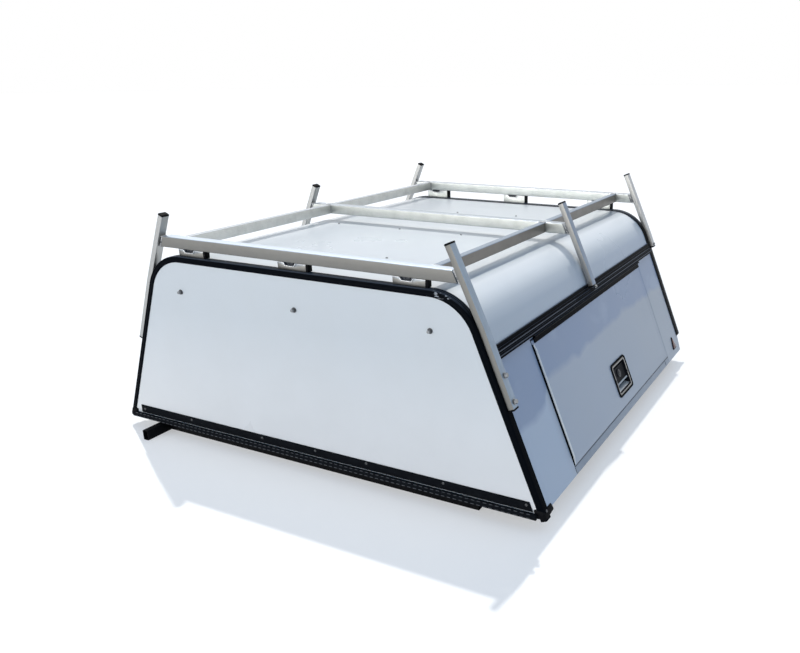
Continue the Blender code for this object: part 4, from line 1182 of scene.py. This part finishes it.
def makeTrimEnds():
    for label, side in (("right", 1), ("left", -1)):
        outer = cap["halfWidth"] + 0.0028
        wide, front, rear, low, high = (trimEnd[key] for key in ("wide", "front", "rear", "low", "high"))
        builder = bmesh.new()
        for z in (low, high):
            shift = outer - z * slope
            for x, y in ((shift - wide, front), (shift, front), (shift, rear), (shift - wide * 0.45, rear)):
                builder.verts.new(place(side * x, y, max(z, trimEnd["tail"]) if y == rear else z))
        builder.verts.ensure_lookup_table()
        for face in ((0, 1, 2, 3), (4, 5, 6, 7), (0, 1, 5, 4), (1, 2, 6, 5), (2, 3, 7, 6), (3, 0, 4, 7)):
            builder.faces.new([builder.verts[index] for index in face])
        ease(builder, builder.edges[:], trimEnd["edge"], 4)
        keepPiece(f"{label}TrimEnd", closeMesh(builder, f"{label}TrimEnd", 50), "plug", "canopy")
    spots = [(onSide(side, 0.0029, *trimEnd["screw"]), Vector((side * cosLean, 0, sinLean)))
             for side in (1, -1)]
    drivenScrews("trimEndScrews", "screw", spots)


standShape = {"wall": 0.002, "corners": (0.0035, 0.0018)}


def makeStand():
    for part in ("front_bearer", "rear_bearer", "left_runner", "right_runner"):
        node = f"stand_{part}"
        low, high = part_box(node)
        size = high - low
        lengthways = 0 if size.x > size.y else 1
        middle = (low + high) / 2

        def spot(along, a, b):
            if lengthways == 0:
                return Vector((along, middle.y + a, middle.z + b))
            return Vector((middle.x + a, along, middle.z + b))
        tube(f"{node}Tube", spot, (size[1 - lengthways], size.z), standShape["wall"], standShape["corners"],
             (low[lengthways], high[lengthways]), "stand", node)
    print("stand made")


lightPlan = {
    "sky": (0.18, 0.285, 0.43),
    "suns": {
        "key": {"strength": 2.45, "spread": 1.2, "from": (-0.34, 0.40, 0.85), "colour": (1.0, 0.97, 0.92)},
        "top": {"strength": 0.34, "spread": 60, "from": (0.25, 0.10, 0.96), "colour": (0.88, 0.94, 1.0)},
        "front": {"strength": 2.60, "spread": 50, "from": (-0.30, -0.95, 0.05), "colour": (1.0, 0.97, 0.92)},
    },
    "floor": (0.58, 0.58, 0.58),
    "floorLift": 0.42,
    # the rays that meet a white world and a lifted floor
    "rays": ("Is Camera Ray", "Is Glossy Ray", "Is Transmission Ray"),
}


def makeStudio():
    for name, plan in lightPlan["suns"].items():
        lamp = bpy.data.lights.new(name + "Light", "SUN")
        lamp.energy = plan["strength"]
        lamp.angle = radians(plan["spread"])
        lamp.color = plan["colour"]
        holder = linked(name + "Light", lamp)
        holder.rotation_euler = Vector(plan["from"]).to_track_quat("Z", "Y").to_euler()
    world = bpy.data.worlds.new("studio")
    world.use_nodes = True
    bpy.context.scene.world = world
    nodes, links = world.node_tree.nodes, world.node_tree.links
    sky = nodes["Background"]
    sky.inputs["Color"].default_value = (*lightPlan["sky"], 1)
    white = nodes.new("ShaderNodeBackground")
    white.inputs["Color"].default_value = (1, 1, 1, 1)
    path = nodes.new("ShaderNodeLightPath")
    seen = path.outputs[lightPlan["rays"][0]]
    for ray in lightPlan["rays"][1:]:
        either = nodes.new("ShaderNodeMath")
        either.operation = "MAXIMUM"
        links.new(seen, either.inputs[0])
        links.new(path.outputs[ray], either.inputs[1])
        seen = either.outputs[0]
    choose = nodes.new("ShaderNodeMixShader")
    links.new(seen, choose.inputs[0])
    links.new(sky.outputs[0], choose.inputs[1])
    links.new(white.outputs[0], choose.inputs[2])
    links.new(choose.outputs[0], nodes["World Output"].inputs["Surface"])

    builder = bmesh.new()
    bmesh.ops.create_circle(builder, cap_ends=True, segments=96, radius=60)
    floor = linked("floor", meshFrom(builder, "floor"))
    paint = Paint("floorPaint")
    first, *others = (paint.node("ShaderNodeLightPath", output=ray) for ray in lightPlan["rays"])
    seen = first
    for ray in others:
        seen = paint.maths("MAXIMUM", seen, ray)
    paint.connect((1.0, 1.0, 1.0), paint.shader.inputs["Emission Color"])
    paint.connect(seen * lightPlan["floorLift"], paint.shader.inputs["Emission Strength"])
    floor.data.materials.append(paint.finish(Base_Color=lightPlan["floor"], Roughness=0.9))


headMaker, padMaker, beadMaker = headTree(), padTree(), beadTree()
makeCamera()
makeStudio()
makeBody()
makeRack()
makeStand()
bpy.context.scene.view_settings.view_transform = "Standard"

print("finished")
